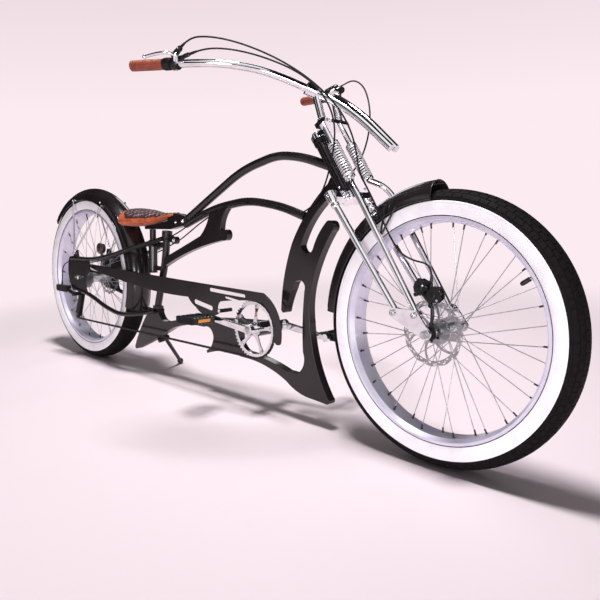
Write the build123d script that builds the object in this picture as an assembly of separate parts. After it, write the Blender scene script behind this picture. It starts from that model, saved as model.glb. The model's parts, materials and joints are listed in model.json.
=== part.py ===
from build123d import *
import os
from math import cos, sin, tan, asin, acos, radians, degrees, sqrt, atan2, pi

# A stretched chopper bicycle, in millimetres. It is laid out upright, x forward, y to the
# rider's left, z up, with the ground under the rear axle as the origin, and is then leaned
# over onto its side stand and centred, as it parks.

# wheels and their places
wheelbase = 1824
axle_height = 372
tyre_radius = 372
tyre_height = 70
tyre_half_width = 45
tyre_wall = 4
tread_flat = 5
tread_band = 31
white_thick = 1.5
rim_half_width = 40
rim_depth = 16
spoke_count = 36
spoke_radius = 1.3
spoke_lift = 1
flange_radius = 29
flange_offset = 31
hub_radius = 17
barrel_radius = 13
axle_radius = 5
rotor_radius = 88
rotor_thick = 2
run_gap = 0.3

# drive
bb_behind_head = 328
bb_z = 287
bb_half = 50
bb_radius = 25
spindle_radius = 9
chain_line = 60
ring_teeth = 48
sprocket_teeth = 16
chain_pitch = 12.7
tooth_depth = 3.4
chain_half_width = 3.5
chain_half_height = 4.2
crank_length = 170
crank_tilt = 8.8
crank_boss_in = 76
crank_thick = 14
pedal_seat = 121
pedal_width = 92
pedal_length = 96
pedal_thick = 24
guard_in = 67
guard_thick = 3
guide_x = -28
guide_drop = 78
tension_x = -62
tension_drop = 176
pulley_radius = 20

# frame
blade_thick = 29
strut_thick = 24
tube_radius = 14.3
head_behind_axle = 356
head_z = 742
seat_joint_x = 600
head_angle = 55.7
head_length = 172
head_radius = 20
head_bore = 15
cup_radius = 23
cup_height = 12
stay_radius = 9
dropout_in = 78
dropout_thick = 7
rear_axle_half = 104

# fork and bars
leg_y = 84
leg_radius = 9.5
spring_y = 42
spring_u = 62
spring_radius = 14
spring_wire = 2.6
spring_foot = 6
spring_top = 118
rocker_u = 27.5
rocker_v = -412
spring_leg_u = 82
spring_leg_v = -449
rocker_in = 94
rocker_thick = 6
steerer_radius = 12.7
bar_radius = 11.1
grip_radius = 16
grip_length = 118
riser_y = 38
hose_radius = 2.5

# fenders
fender_drop = 26
fender_half_width = 52.5
fender_thick = 2
rear_fender_low = -17
rear_fender_end = 137.5
front_fender_low = 88
front_fender_end = 178

# stand
lean = 5
stand_x = 492
stand_y = 34
stand_z = 152
stand_length = 180
stand_radius = 8
foot_y = 150
foot_radius = 13
stand_folded_rise = 17

head_x = wheelbase - head_behind_axle
bb_x = head_x - bb_behind_head
rim_radius = tyre_radius - tyre_height
white_outer = tyre_radius - tread_band
white_inner = rim_radius + 3
fender_ring = tyre_radius - fender_drop
guide_z = axle_height - guide_drop
tension_z = axle_height - tension_drop
rear_axle = (0, 0, axle_height)
front_axle = (wheelbase, 0, axle_height)
ring_radius = chain_pitch * ring_teeth / (2 * pi)
sprocket_radius = chain_pitch * sprocket_teeth / (2 * pi)


# The frame's outlines are drawn with the bottom bracket and the head at these places.
drawn_bracket = 1140
drawn_head = 1468


def fit(x):
    """Where a place drawn at x lies once the bracket and the head are where the sizes put them."""
    if x <= seat_joint_x:
        return x
    if x <= drawn_bracket:
        return seat_joint_x + (x - seat_joint_x) * (bb_x - seat_joint_x) / (drawn_bracket - seat_joint_x)
    if x <= drawn_head:
        return bb_x + (x - drawn_bracket) * (head_x - bb_x) / (drawn_head - drawn_bracket)
    return x + head_x - drawn_head


def smooth_path(points):
    """Straight runs joined by arcs as large as the runs allow."""
    spots = [Vector(*p) for p in points]
    radii = []
    for before, here, after in zip(spots, spots[1:], spots[2:]):
        turn = (here - before).get_angle(after - here)
        shorter = min((here - before).length, (after - here).length)
        radii.append(0.45 * shorter / tan(radians(turn / 2)))
    return FilletPolyline(*spots, radius=radii)


def tube(points, radius):
    path = smooth_path(points) if len(points) > 2 else Line(*points)
    return sweep(Plane(origin=path @ 0, z_dir=path % 0) * Circle(radius), path=path)


def rod(start, end, radius):
    a, b = Vector(*start), Vector(*end)
    return extrude(Plane(origin=a, z_dir=b - a) * Circle(radius), amount=(b - a).length)


def across(x, z, y0, y1, radius):
    """A round piece along y."""
    return rod((x, y0, z), (x, y1, z), radius)


def block(x0, x1, y0, y1, z0, z1):
    return Pos((x0 + x1) / 2, (y0 + y1) / 2, (z0 + z1) / 2) * Box(abs(x1 - x0), abs(y1 - y0), abs(z1 - z0))


def outline(start, steps):
    """A closed face in the side view: a step is an end point, or a middle point and an end point."""
    here, edges = start, []
    for step in steps:
        if isinstance(step[0], tuple):
            edges.append(ThreePointArc(here, step[0], step[1]))
            here = step[1]
        else:
            edges.append(Line(here, step))
            here = step
    if here != start:
        edges.append(Line(here, start))
    return make_face(Wire(edges))


def fitted(start, steps):
    """The same, drawn from the frame's stations."""
    def moved(point):
        return (fit(point[0]), point[1])
    return outline(moved(start), [tuple(moved(q) for q in step) if isinstance(step[0], tuple) else moved(step)
                                  for step in steps])


def fitted_line(points):
    return [(fit(x), y, z) for x, y, z in points]


def around(centre, radius, angle):
    """A place in the side view, by its distance and its angle up from straight ahead."""
    return (centre[0] + radius * cos(radians(angle)), centre[-1] + radius * sin(radians(angle)))


def blade(face, thick):
    """A side-view face made into a plate across the bike's middle."""
    return extrude(Plane.XZ * face, amount=thick / 2, both=True)


def ring_of(section, centre, arc=360):
    """Revolves a section, drawn with x as the radius and y across the bike, about a wheel's axle."""
    return Pos(*centre) * revolve(section, axis=Axis.Y, revolution_arc=arc)


# The fork's own frame: u ahead of the steering axis, y across, v up the axis from the head tube's foot.
steer_tilt = 90 - head_angle
fork_frame = Location((head_x, 0, head_z), (0, -steer_tilt, 0))


def fork_point(u, y, v):
    a = radians(steer_tilt)
    return (head_x + u * cos(a) - v * sin(a), y, head_z + u * sin(a) + v * cos(a))


def to_fork(x, y, z):
    a = radians(steer_tilt)
    dx, dz = x - head_x, z - head_z
    return (dx * cos(a) + dz * sin(a), y, -dx * sin(a) + dz * cos(a))


# wheels

def tyre(centre):
    # the outer skin from bead to bead, as radius and half-width
    skin = [(rim_radius + 1, tyre_half_width - 6), (white_inner + 12, tyre_half_width - 1),
            (white_outer - 8, tyre_half_width), (white_outer + 8, tyre_half_width - 3),
            (tyre_radius - 9, tyre_half_width - 15), (tyre_radius - 2, tyre_half_width / 3), (tyre_radius, tread_flat)]
    inner = [(r - tyre_wall, max(w - tyre_wall, 3)) for r, w in skin[1:]]
    inner[0] = (skin[0][0], skin[0][1] - tyre_wall)
    loop = skin + [(r, -w) for r, w in reversed(skin)] + [(r, -w) for r, w in inner] + list(reversed(inner))
    return ring_of(make_face(Polyline(*loop, close=True)), centre)


def whitewalls(centre):
    out = []
    for side in (1, -1):
        band = [(white_inner + 12, side * (tyre_half_width - 1 + run_gap)), (white_outer - 8, side * (tyre_half_width + run_gap)),
                (white_outer, side * (tyre_half_width - 1.5 + run_gap)),
                (white_outer, side * (tyre_half_width - 1.5 + run_gap + white_thick)),
                (white_outer - 8, side * (tyre_half_width + run_gap + white_thick)),
                (white_inner + 12, side * (tyre_half_width - 1 + run_gap + white_thick))]
        out.append(ring_of(make_face(Polyline(*band, close=True)), centre))
    return Compound(out)


def rim(centre):
    r, w = rim_radius, rim_half_width
    loop = [(r, w), (r, w - 4), (r - 4, w - 8), (r - rim_depth + 3, w - 14), (r - rim_depth + 3, -w + 14),
            (r - 4, -w + 8), (r, -w + 4), (r, -w), (r - 8, -w), (r - rim_depth, -w + 14), (r - rim_depth, w - 14), (r - 8, w)]
    return ring_of(make_face(Polyline(*loop, close=True)), centre)


def hub(centre, half_length):
    """The shell turns on its axle; the flanges carry the spokes."""
    shell = Cylinder(hub_radius, 2 * flange_offset, rotation=(90, 0, 0))
    for y in (flange_offset, -flange_offset):
        shell += Pos(0, y, 0) * Cylinder(flange_radius + 5, 4, rotation=(90, 0, 0))
    shell += Cylinder(barrel_radius, 2 * half_length, rotation=(90, 0, 0))
    return Pos(*centre) * (shell - Cylinder(axle_radius + run_gap, 2 * half_length + 2, rotation=(90, 0, 0)))


def axle(centre, half_length, seat, nut_out):
    """A pin through the hub with a spacer each side up to the frame's plates and a nut outside them."""
    pin = Cylinder(axle_radius, 2 * half_length, rotation=(90, 0, 0))
    for side in (1, -1):
        pin += across(0, 0, side * seat[0], side * seat[1], 9)
        nut = extrude(Plane.XZ * RegularPolygon(11, 6), amount=3.5, both=True)
        pin += Pos(0, side * (nut_out + 3.5), 0) * nut
    return Pos(*centre) * pin


def spokes(centre):
    """Laced over their neighbours: half lean forward, half back, and the flanges alternate."""
    out = []
    step = 360 / spoke_count
    for i in range(spoke_count):
        side = 1 if i % 2 else -1
        lead = 1 if (i // 2) % 2 else -1
        a = radians(i * step)
        b = radians(i * step + lead * 4.5 * step)
        y0 = side * (flange_offset + 2 + spoke_radius + spoke_lift)
        start = Vector(flange_radius * cos(b), y0, flange_radius * sin(b))
        reach = rim_radius - rim_depth - run_gap
        end = Vector(reach * cos(a), side * 14, reach * sin(a))
        wire = extrude(Plane(origin=start, z_dir=end - start) * RegularPolygon(spoke_radius, 6), amount=(end - start).length)
        out.append(Pos(*centre) * wire)
    return Compound(out)


def rotor(centre, side, y):
    disc = Cylinder(rotor_radius, rotor_thick, rotation=(90, 0, 0)) - Cylinder(rotor_radius - 15, 10, rotation=(90, 0, 0))
    for i in range(6):
        arm = Pos((rotor_radius - 14 + 26) / 2, 0, 0) * Box(rotor_radius - 14 - 22, rotor_thick, 9)
        disc += Rot(0, 60 * i + 12, 0) * arm
    disc += Cylinder(27, rotor_thick, rotation=(90, 0, 0)) - Cylinder(barrel_radius + run_gap, 10, rotation=(90, 0, 0))
    vent = Plane.XZ * SlotOverall(9, 3.4)
    for i in range(18):
        disc -= Rot(0, 20 * i, 0) * extrude(Pos(rotor_radius - 7.5, 0, 0) * Rot(0, 35, 0) * vent, amount=rotor_thick, both=True)
    return Pos(centre[0], side * y, centre[2]) * disc


# frame

def head_tube():
    body = Pos(0, 0, head_length / 2) * (Cylinder(head_radius, head_length) - Cylinder(head_bore, head_length + 2))
    return fork_frame * body


def headset():
    cups = [Pos(0, 0, z) * (Cylinder(cup_radius, cup_height) - Cylinder(head_bore, cup_height + 2))
            for z in (-cup_height / 2, head_length + cup_height / 2)]
    return Compound([fork_frame * cup for cup in cups])


def head_core():
    return fork_frame * (Pos(0, 0, head_length / 2) * Cylinder(head_radius, head_length + 60))


def down_tube():
    face = fitted((1410, 764), [
        ((1325, 676), (1266, 582)), ((1236, 487), (1221, 364)), ((1231, 350), (1243, 363)),
        ((1256, 402), (1272, 437)), ((1286, 459), (1304, 463)), ((1319, 455), (1323, 430)),
        ((1318, 330), (1322, 232)), ((1317, 174), (1292, 155)), (1250, 156), (1250, 122),
        ((1300, 97), (1366, 86)), (1424, 82), ((1437, 88), (1433, 101)), ((1376, 208), (1349, 330)),
        ((1345, 400), (1357, 468)), ((1388, 548), (1430, 620)), ((1434, 647), (1411, 653)),
        ((1380, 616), (1357, 571)), ((1329, 549), (1303, 575)), ((1343, 650), (1424, 727)),
        (1452, 733), (1420, 782)])
    return blade(face, blade_thick) - head_core()


def lower_frame():
    face = fitted((352, 90), [
        ((478, 146), (609, 212)), ((712, 240), (813, 246)), ((864, 230), (864, 195)), ((850, 172), (829, 160)),
        (832, 149), ((925, 171), (1028, 167)), ((1150, 156), (1250, 122)), (1250, 156),
        ((1150, 180), (1062, 188)), ((1022, 208), (1012, 250)), (1030, 264), (1140, bb_z - bb_radius + 3),
        (1140, bb_z + bb_radius - 3), ((1000, 299), (850, 284)), ((700, 262), (590, 238)),
        ((530, 246), (511, 290)), (478, 290), ((467, 262), (438, 254)), ((380, 175), (343, 104)), ((343, 93), (352, 90))])
    shell = across(bb_x, bb_z, -bb_half, bb_half, bb_radius)
    bore = across(bb_x, bb_z, -bb_half - 1, bb_half + 1, spindle_radius + 1)
    return blade(face, blade_thick) + shell - bore


seat_path = [(562, 0, 592), (549, 0, 480), (520, 0, 380), (494, 0, 290)]


def seat_tube():
    body = tube(seat_path, tube_radius)
    body += rod((563, 0, 596), (558, 0, 556), tube_radius + 6)
    lobe = extrude(Plane.XZ * (Pos(617, 562) * Circle(15) + Pos(590, 567) * Rectangle(46, 22, rotation=-12)), amount=10, both=True)
    return body + lobe - block(460, 530, -40, 40, 250, 290)


def seat_core():
    return tube(seat_path, tube_radius)


def upper_tube():
    route = [(700, 0, 648), (860, 0, 737), (1010, 0, 819), (1180, 0, 861), (1290, 0, 850), (1420, 0, 812)]
    return tube(fitted_line(route), tube_radius) - head_core()


second_path = fitted_line([(690, 0, 626), (860, 0, 688), (1048, 0, 716), (1200, 0, 696), (1308, 0, 664)])


def second_tube():
    return tube(second_path, tube_radius) + Pos(fit(690), 0, 628) * Sphere(tube_radius + 2) - upper_tube()


def strut():
    face = fitted((541, 448), [
        ((741, 530), (918, 574)), ((944, 593), (924, 614)), (904, 610), ((918, 662), (965, 703)), (845, 683),
        ((824, 628), (786, 584)), ((680, 540), (551, 488))])
    return blade(face, strut_thick) - tube(seat_path, tube_radius + 0.1) - tube(second_path, tube_radius + 0.1)


def stay_tubes(side):
    """The upper and lower stay of one side, from the dropout in to the seat tube."""
    y = side * (dropout_in + dropout_thick / 2)
    upper = tube([(-70, y, 455), (120, y, 459), (270, y, 484), (400, side * 72, 520), (500, side * 38, 548),
                  (552, side * 16, 566)], stay_radius)
    lower = tube([(-40, y, 318), (90, y, 302), (215, y, 262), (330, side * 80, 242), (420, side * 62, 250),
                  (494, side * 20, 270)], stay_radius)
    return upper + lower


def rear_stays(side):
    """One welded half of the tail: both stays and the plate that takes the axle and the guard's stays."""
    y = side * (dropout_in + dropout_thick / 2)
    face = outline((-86, 460), [(-46, 466), (-38, 494), (-12, 494), (-4, 466), (80, 464), ((92, 425), (70, 390)),
            ((52, 345), (66, 311)), (-60, 309), ((-98, 380), (-86, 460))])
    plate = Pos(0, y, 0) * extrude(Plane.XZ * face, amount=dropout_thick / 2, both=True)
    body = plate + stay_tubes(side) - seat_tube() - seat_core()
    body -= block(440, 530, -blade_thick / 2, blade_thick / 2, 230, 300)
    return body - across(0, axle_height, y - 10, y + 10, axle_radius + run_gap)


post_foot = 424
carrier_top = 556
post_top = 600
post_radius = 12.5
post_x = 462


def seat_carrier():
    """Holds the saddle's post behind the seat tube, clear of the wheel's guard."""
    sleeve = rod((post_x, 0, post_foot), (post_x, 0, carrier_top), post_radius + 5)
    arms = block(post_x, post_x + 90, -8, 8, carrier_top - 26, carrier_top - 6)
    arms += block(post_x, post_x + 74, -8, 8, post_foot + 12, post_foot + 28)
    body = sleeve + arms + across(post_x + 14, carrier_top - 18, -46, 46, 7)
    body -= rod((post_x, 0, post_foot - 1), (post_x, 0, carrier_top + 4), post_radius + run_gap)
    return body - seat_tube() - stay_tubes(1) - stay_tubes(-1)


def chain_guard():
    """A flame-edged panel outside the chain that curls round the front of the chainring."""
    def arc(radius, angle):
        return around((bb_x, bb_z), radius, angle)

    def at(x, z):
        return (fit(x), z)
    face = outline((80, 436), [
        (at(600, 424), arc(138, 68)), (arc(138, 30), arc(138, -12)), (arc(122, -16), arc(107, -12)),
        (arc(107, 30), arc(107, 66)), (at(1050, 376), at(985, 366)), (at(960, 340), at(968, 322)),
        (at(900, 304), at(835, 330)), (at(806, 346), at(790, 362)), ((520, 366), (300, 388)), ((190, 400), (80, 420))])
    # slots as x, z, length, height and slope
    for cx, cz, length, height, slope in ((1010, 398, 190, 13, -2), (880, 342, 108, 17, -9), (1040, 378, 80, 8, -6)):
        x0, x1 = fit(cx - length / 2), fit(cx + length / 2)
        face -= Pos((x0 + x1) / 2, cz) * SlotOverall(x1 - x0, height, rotation=slope)
    panel = Pos(0, -guard_in - guard_thick / 2, 0) * extrude(Plane.XZ * face, amount=guard_thick / 2, both=True)
    lug = across(86, 428, -guard_in, -dropout_in, 6)
    post = across(fit(968), 330, -guard_in, -blade_thick / 2 + 0.5, 7)
    return panel + post + lug


def belt(circles, shift):
    """A closed face round pulleys given as x, z and a radius, negative where it is wrapped clockwise."""
    runs = []
    for (x0, z0, r0), (x1, z1, r1) in zip(circles, circles[1:] + circles[:1]):
        a, b = r0 - shift, r1 - shift
        heading = atan2(z1 - z0, x1 - x0) - asin((b - a) / sqrt((x1 - x0) ** 2 + (z1 - z0) ** 2))
        nx, nz = -sin(heading), cos(heading)
        runs.append(((x0 - a * nx, z0 - a * nz), (x1 - b * nx, z1 - b * nz), heading))
    edges = []
    for i, (start, end, heading) in enumerate(runs):
        edges.append(Line(start, end))
        x, z, r = circles[(i + 1) % len(circles)]
        after, _, heading_out = runs[(i + 1) % len(runs)]
        turn = heading_out - heading
        turn = turn % (2 * pi) if r > 0 else -((-turn) % (2 * pi))
        middle = heading + turn / 2
        radius = r - shift
        edges.append(ThreePointArc(end, (x + radius * sin(middle), z - radius * cos(middle)), after))
    return make_face(Wire(edges))


chain_route = [(bb_x, bb_z, ring_radius), (0, axle_height, sprocket_radius),
               (guide_x, guide_z, -pulley_radius), (tension_x, tension_z, pulley_radius)]


def chain():
    """One loop: over the ring, under the guard, round the sprocket and back by way of the derailleur's pulleys."""
    face = belt(chain_route, -chain_half_height) - belt(chain_route, chain_half_height)
    return Pos(0, -chain_line, 0) * extrude(Plane.XZ * face, amount=chain_half_width, both=True)


def sprocket(teeth, thick=2, bore=10):
    """A toothed disc: its tips stand just short of the chain."""
    tip = chain_pitch * teeth / (2 * pi) - chain_half_height - run_gap
    root = tip - tooth_depth
    loop = []
    for k in range(teeth):
        for share, radius in ((0, root), (0.3, root), (0.45, tip), (0.6, tip)):
            angle = 2 * pi * (k + share) / teeth
            loop.append((radius * cos(angle), radius * sin(angle)))
    disc = extrude(Plane.XZ * make_face(Polyline(*loop, close=True)), amount=thick / 2, both=True)
    return disc - Cylinder(bore, thick * 3, rotation=(90, 0, 0))


def crank_arm(side, angle):
    """From the spindle's boss out to the pedal's eye, splayed a little so the pedal clears."""
    far = (crank_length * cos(radians(angle)), crank_length * sin(radians(angle)))
    y_boss, y_eye = side * (crank_boss_in + crank_thick / 2), side * (pedal_seat - crank_thick / 2 - 1)
    boss = across(0, 0, y_boss - side * crank_thick / 2, y_boss + side * crank_thick / 2, 19)
    eye = across(far[0], far[1], y_eye - crank_thick / 2, y_eye + crank_thick / 2, 13)
    a, b = Vector(0, y_boss, 0), Vector(far[0], y_eye, far[1])
    run = (b - a).normalized()
    wide = Plane(origin=a, z_dir=run, x_dir=(0, 1, 0))
    narrow = Plane(origin=b, z_dir=run, x_dir=(0, 1, 0))
    arm = loft([wide * RectangleRounded(crank_thick - 1, 26, 4), narrow * RectangleRounded(crank_thick - 3, 19, 3)])
    return Pos(bb_x, 0, bb_z) * (boss + eye + arm)


def chainring():
    """The toothed ring on its five-armed spider, held on the right arm's boss."""
    body = sprocket(ring_teeth, 3, ring_radius - 20)
    for i in range(5):
        body += Rot(0, 72 * i - crank_tilt, 0) * (Pos(48, 0, 0) * Box(66, 3, 13))
    body += Cylinder(24, 3, rotation=(90, 0, 0)) - Cylinder(spindle_radius + run_gap, 10, rotation=(90, 0, 0))
    return Pos(bb_x, -chain_line, bb_z) * body


def crank(side):
    """An arm with half of the spindle; the right one's boss also reaches in to the ring."""
    body = crank_arm(side, 180 - crank_tilt if side < 0 else -crank_tilt)
    body += across(bb_x, bb_z, 0.2 * side, side * crank_boss_in, spindle_radius)
    if side < 0:
        body += across(bb_x, bb_z, -chain_line - 1.5 - run_gap, -crank_boss_in, 16)
    return body + pedal_axle(side)


def pedal_eye(side):
    angle = 180 - crank_tilt if side < 0 else -crank_tilt
    return (bb_x + crank_length * cos(radians(angle)), bb_z + crank_length * sin(radians(angle)))


def pedal(side):
    x, z = pedal_eye(side)
    inner, outer = side * (pedal_seat + 8), side * (pedal_seat + 8 + pedal_width)
    body = block(x - pedal_length / 2, x + pedal_length / 2, inner, outer, z - pedal_thick / 2, z + pedal_thick / 2)
    body = fillet(body.edges().filter_by(Axis.Y), 7)
    for dx in (-28, 28):
        body -= block(x + dx - 11, x + dx + 11, inner + side * 12, outer - side * 12, z - 40, z + 40)
    return body - across(x, z, inner - side * 5, outer - side * 10, 5.4)


def pedal_axle(side):
    x, z = pedal_eye(side)
    return across(x, z, side * (pedal_seat - 4), side * (pedal_seat + pedal_width - 4), axle_radius)


def cassette():
    """The freewheel's sprockets on one body, turning on the hub's axle line."""
    body = across(0, axle_height, -73, -38.5, 19)
    for teeth, y in ((24, -40), (22, -45), (20, -50), (18, -55), (sprocket_teeth, -chain_line), (14, -65), (12, -70)):
        body += Pos(0, y, axle_height) * sprocket(teeth, 2, 0)
    return body - across(0, axle_height, -80, -30, barrel_radius + run_gap)


def derailleur():
    """Hangs under the right plate and carries the two idlers that the chain runs round."""
    body = block(-176, -86, -108, -90, 298, 327)
    body = fillet(body.edges().filter_by(Axis.Y), 8)
    body += across(-84, 320, -108, -dropout_in - dropout_thick - run_gap, 9)
    body += rod((-100, -100, 314), (guide_x, -96, guide_z), 8) + across(guide_x, guide_z, -104, -66.5, 9)
    for y in (-66.5, -51):
        cheek = make_hull([e for x, z in ((guide_x, guide_z), (tension_x, tension_z)) for e in (Pos(x, z) * Circle(13)).edges()])
        body += Pos(0, y, 0) * extrude(Plane.XZ * cheek, amount=-2.5)
    for x, z in ((guide_x, guide_z), (tension_x, tension_z)):
        body += across(x, z, -69, -51, 4)
        body += across(x, z, -chain_line - 2, -chain_line + 2, pulley_radius - chain_half_height - run_gap)
    return body


def rear_caliper():
    """Straddles the left rotor just ahead of the axle, on a lug of the dropout."""
    body = chamfer(block(46, 100, 50, 80, 402, 446).edges().filter_by(Axis.Y), 8)
    body -= across(0, axle_height, 60, 70, rotor_radius + 5)
    return body - rear_stays(1)


def reflector():
    disc = across(206, 512, -96, -78, 20)
    return disc + rod((206, -87, 470), (206, -87, 500), 5) - stay_tubes(-1)


# fork

def local(solid):
    return fork_frame * solid


def upright(u, y, v0, v1, radius):
    """A round piece along the steering axis, in the fork's frame."""
    return Pos(u, y, (v0 + v1) / 2) * Cylinder(radius, v1 - v0)


def steerer():
    return local(upright(0, 0, -38, head_length + 30, steerer_radius))


def rear_leg_rod(side, radius):
    return rod((2, side * leg_y, -cup_height - 4), (rocker_u, side * leg_y, rocker_v), radius)


def lower_crown():
    v = -cup_height - 14
    body = upright(0, 0, v - 12, v + 12, 25)
    for side in (1, -1):
        body += Pos(2, side * leg_y / 2, v) * Box(34, leg_y, 22)
        body += upright(2, side * leg_y, v - 18, v + 14, leg_radius + 6)
        body -= rear_leg_rod(side, leg_radius)
    return local(body - upright(0, 0, v - 30, v + 30, steerer_radius))


def rear_leg(side):
    foot = across(rocker_u, rocker_v, side * (leg_y - 9), side * (rocker_in - run_gap), 12)
    return local(rear_leg_rod(side, leg_radius) + foot)


def front_leg(side):
    """The sprung leg: up from the rocker and cranked in under its coil."""
    body = tube([(spring_leg_u, side * leg_y, spring_leg_v), (spring_u + 24, side * leg_y, -74),
                 (spring_u + 16, side * (leg_y - 8), -34), (spring_u, side * spring_y, -2)], leg_radius - 0.5)
    body += across(spring_leg_u, spring_leg_v, side * (leg_y - 9), side * (rocker_in - run_gap), 11)
    body += upright(spring_u, side * spring_y, -3, spring_foot - run_gap, spring_radius + 1.5)
    return local(body)


def coil(side):
    """The spring between the cup on the sprung leg and the one under the top bridge."""
    low, high = spring_foot + run_gap, spring_top - run_gap
    body = upright(spring_u, side * spring_y, low, high, spring_radius)
    return local(body - upright(spring_u, side * spring_y, low - 1, high + 1, spring_radius - 2 * spring_wire))


bridge_v = head_length + cup_height + 10


def top_bridge():
    body = upright(0, 0, bridge_v - 7, bridge_v + 7, 24)
    body += Pos(spring_u / 2, 0, bridge_v) * Box(spring_u, 40, 12)
    body += Pos(spring_u, 0, bridge_v) * Box(36, 2 * spring_y + 34, 14)
    for side in (1, -1):
        body += upright(spring_u, side * spring_y, spring_top, bridge_v, 8)
        body += upright(spring_u, side * spring_y, spring_top, spring_top + 6, spring_radius + 1.5)
        body += upright(spring_u, side * riser_y, bridge_v + 6, bridge_v + 14, 15)
    return local(body - upright(0, 0, bridge_v - 20, bridge_v + 20, steerer_radius))


def rocker(side):
    """Joins both legs to the front axle; the axle hangs ahead of them."""
    a, b, c = fork_point(rocker_u, 0, rocker_v), fork_point(spring_leg_u, 0, spring_leg_v), front_axle
    a, b, c = (a[0], a[2]), (b[0], b[2]), (c[0], c[2])
    face = make_hull([edge for x, z, r in ((*a, 13), (*b, 13), (*c, 15)) for edge in (Pos(x, z) * Circle(r)).edges()])
    y = side * (rocker_in + rocker_thick / 2)
    plate = Pos(0, y, 0) * extrude(Plane.XZ * face, amount=rocker_thick / 2, both=True)
    for x, z in (a, b):
        plate += across(x, z, y, side * (rocker_in + rocker_thick + 5), 8)
    return plate - across(wheelbase, axle_height, y - 9, y + 9, axle_radius + run_gap)


def front_caliper():
    """Straddles the rotor, hung on a plate that fits round the axle inside the rocker."""
    cx, cz = wheelbase - 10, axle_height + 98
    body = block(cx - 38, cx + 34, -81, -49, cz - 24, cz + 34)
    body = chamfer(body.edges().filter_by(Axis.Y), 9)
    slot = across(wheelbase, axle_height, -70, -60, rotor_radius + 5)
    lug = block(cx - 12, cx + 16, -77, -73.5, cz - 95, cz)
    ring = across(wheelbase, axle_height, -77, -73.5, 18)
    return body - slot + lug + ring - across(wheelbase, axle_height, -100, -40, 9.3)


# handlebar: two halves that come together ahead of the stem

# the right half's route, as distances ahead of the head, across and above its foot
bar_route = [(-536, -381, 365), (-362, -330, 357), (-256, -266, 355), (-178, -185, 340), (-131, -105, 315),
             (-90, -43, 287), (-28, -25, 258), (62, -18, 202), (168, -12.5, 114)]
bar_line = [(head_x + x, y, head_z + z) for x, y, z in bar_route]


def bar_half(side):
    return tube([(x, -side * y, z) for x, y, z in bar_line], bar_radius)


def bar_sleeve(side, run, start, length, radius):
    """A round piece on one run of the bar, so far along it."""
    a, b = [Vector(x, -side * y, z) for x, y, z in bar_line[run:run + 2]]
    way = (b - a).normalized()
    return rod(a + way * start, a + way * (start + length), radius) - bar_half(side)


def grip(side):
    return bar_sleeve(side, 0, 4, grip_length, grip_radius)


def shifter(side):
    return bar_sleeve(side, 0, grip_length + 7, 26, grip_radius + 1)


def bar_place(side, x, y, z):
    """A place near one half of the bar, from the head's foot."""
    return (head_x + x, side * y, head_z + z)


def lever_mount(side):
    """The clamp with the brake's reservoir on top of it and the stop of the second line inboard."""
    body = bar_sleeve(side, 0, grip_length + 37, 22, grip_radius + 2)
    body += rod(bar_place(side, -384, 339, 378), bar_place(side, -334, 346, 396), 9)
    body += rod(bar_place(side, -372, 333, 370), bar_place(side, -318, 322, 380), 6.5)
    return body - bar_half(side)


def brake_lever(side):
    """Pivots on its mount and runs back outside the grip to a ball end."""
    pivot, tip = bar_place(side, -352, 354, 374), bar_place(side, -432, 404, 372)
    body = tube([pivot, bar_place(side, -360, 378, 379), bar_place(side, -388, 393, 377), tip], 4.5)
    body += rod(bar_place(side, -374, 337, 358), pivot, 8) + Pos(pivot) * Sphere(8) + Pos(tip) * Sphere(6.5)
    return body - lever_mount(side) - bar_half(side)


# brake hoses and the gear cable

# from the right lever in a free arc ahead of the bar, then down beside the fork's right leg
front_hose_route = [
    (-334, -346, 396), (-289, -352.3, 412.2), (-236, -328, 412), (-180, -292, 399), (-124, -252, 376), (-70, -212, 346),
    (-20, -172, 309), (24, -134, 264), (60, -102, 212), (82, -80, 156), (92, -68, 100), (100, -64, 46), (130, -64, 4),
    (160, -64, -42), (189, -64, -89), (218, -64, -135), (248, -64, -170), (290, -64.5, -186), (330, -65, -190),
    (347, -65.3, -208), (347, -65.3, -237.7)]

# from a line's stop over its half of the bar, back past the head and along the second tube to the stays
inner_run = [
    (-318, 322, 380), (-275, 313.2, 388), (-222, 280, 387), (-168, 240, 375), (-114, 198, 354), (-64, 157, 327),
    (-22, 122, 290), (7, 98, 244), (20, 82, 192), (16, 73, 138), (-2, 65, 88), (-26, 50, 46), (-56, 33, 10), (-90, 21, -26),
    (-128, 18.5, -54)]
tube_run = [(1290, 18.5, 668), (1200, 18.5, 689), (1048, 18.5, 708), (930, 18.5, 693), (820, 18.5, 664), (740, 20, 628),
            (668, 26, 592), (600, 38, 564), (540, 54, 548), (476, 68, 530), (400, 84, 508), (270, 89.5, 471)]
derailleur_run = [(120, 89.5, 446), (20, 90, 443), (-62, 91, 441), (-112, 95, 428), (-134, 98.5, 394), (-135, 99, 327.3)]
caliper_run = [(215, 86, 452), (172, 74, 437), (138, 66, 427), (100.3, 65, 424)]


def hose_body(route):
    return tube(route, hose_radius)


def front_hose():
    return hose_body([(head_x + x, y, head_z + z) for x, y, z in front_hose_route])


def long_line(side, tail):
    """A line that starts on the bar and ends at the back wheel."""
    start = [bar_place(side, *spot) for spot in inner_run]
    rest = fitted_line([(x, side * y, z) for x, y, z in tube_run + tail])
    return hose_body(start + rest)


def riser(side):
    """From the bridge up to the clamp round its half of the bar."""
    x, y, z = bar_line[5]
    u, _, v = to_fork(x, 0, z)
    post = local(rod((spring_u, side * riser_y, bridge_v + 6), (u, side * abs(y), v), 11.5))
    foot = local(upright(spring_u, side * riser_y, bridge_v - 10, bridge_v + 14, 16))
    a, b = [Vector(x, -side * y, z) for x, y, z in bar_line[4:6]]
    length = (b - a).length
    return post - foot + bar_sleeve(side, 4, length - 30, 30, 19) - bar_half(side)


# fenders

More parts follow.
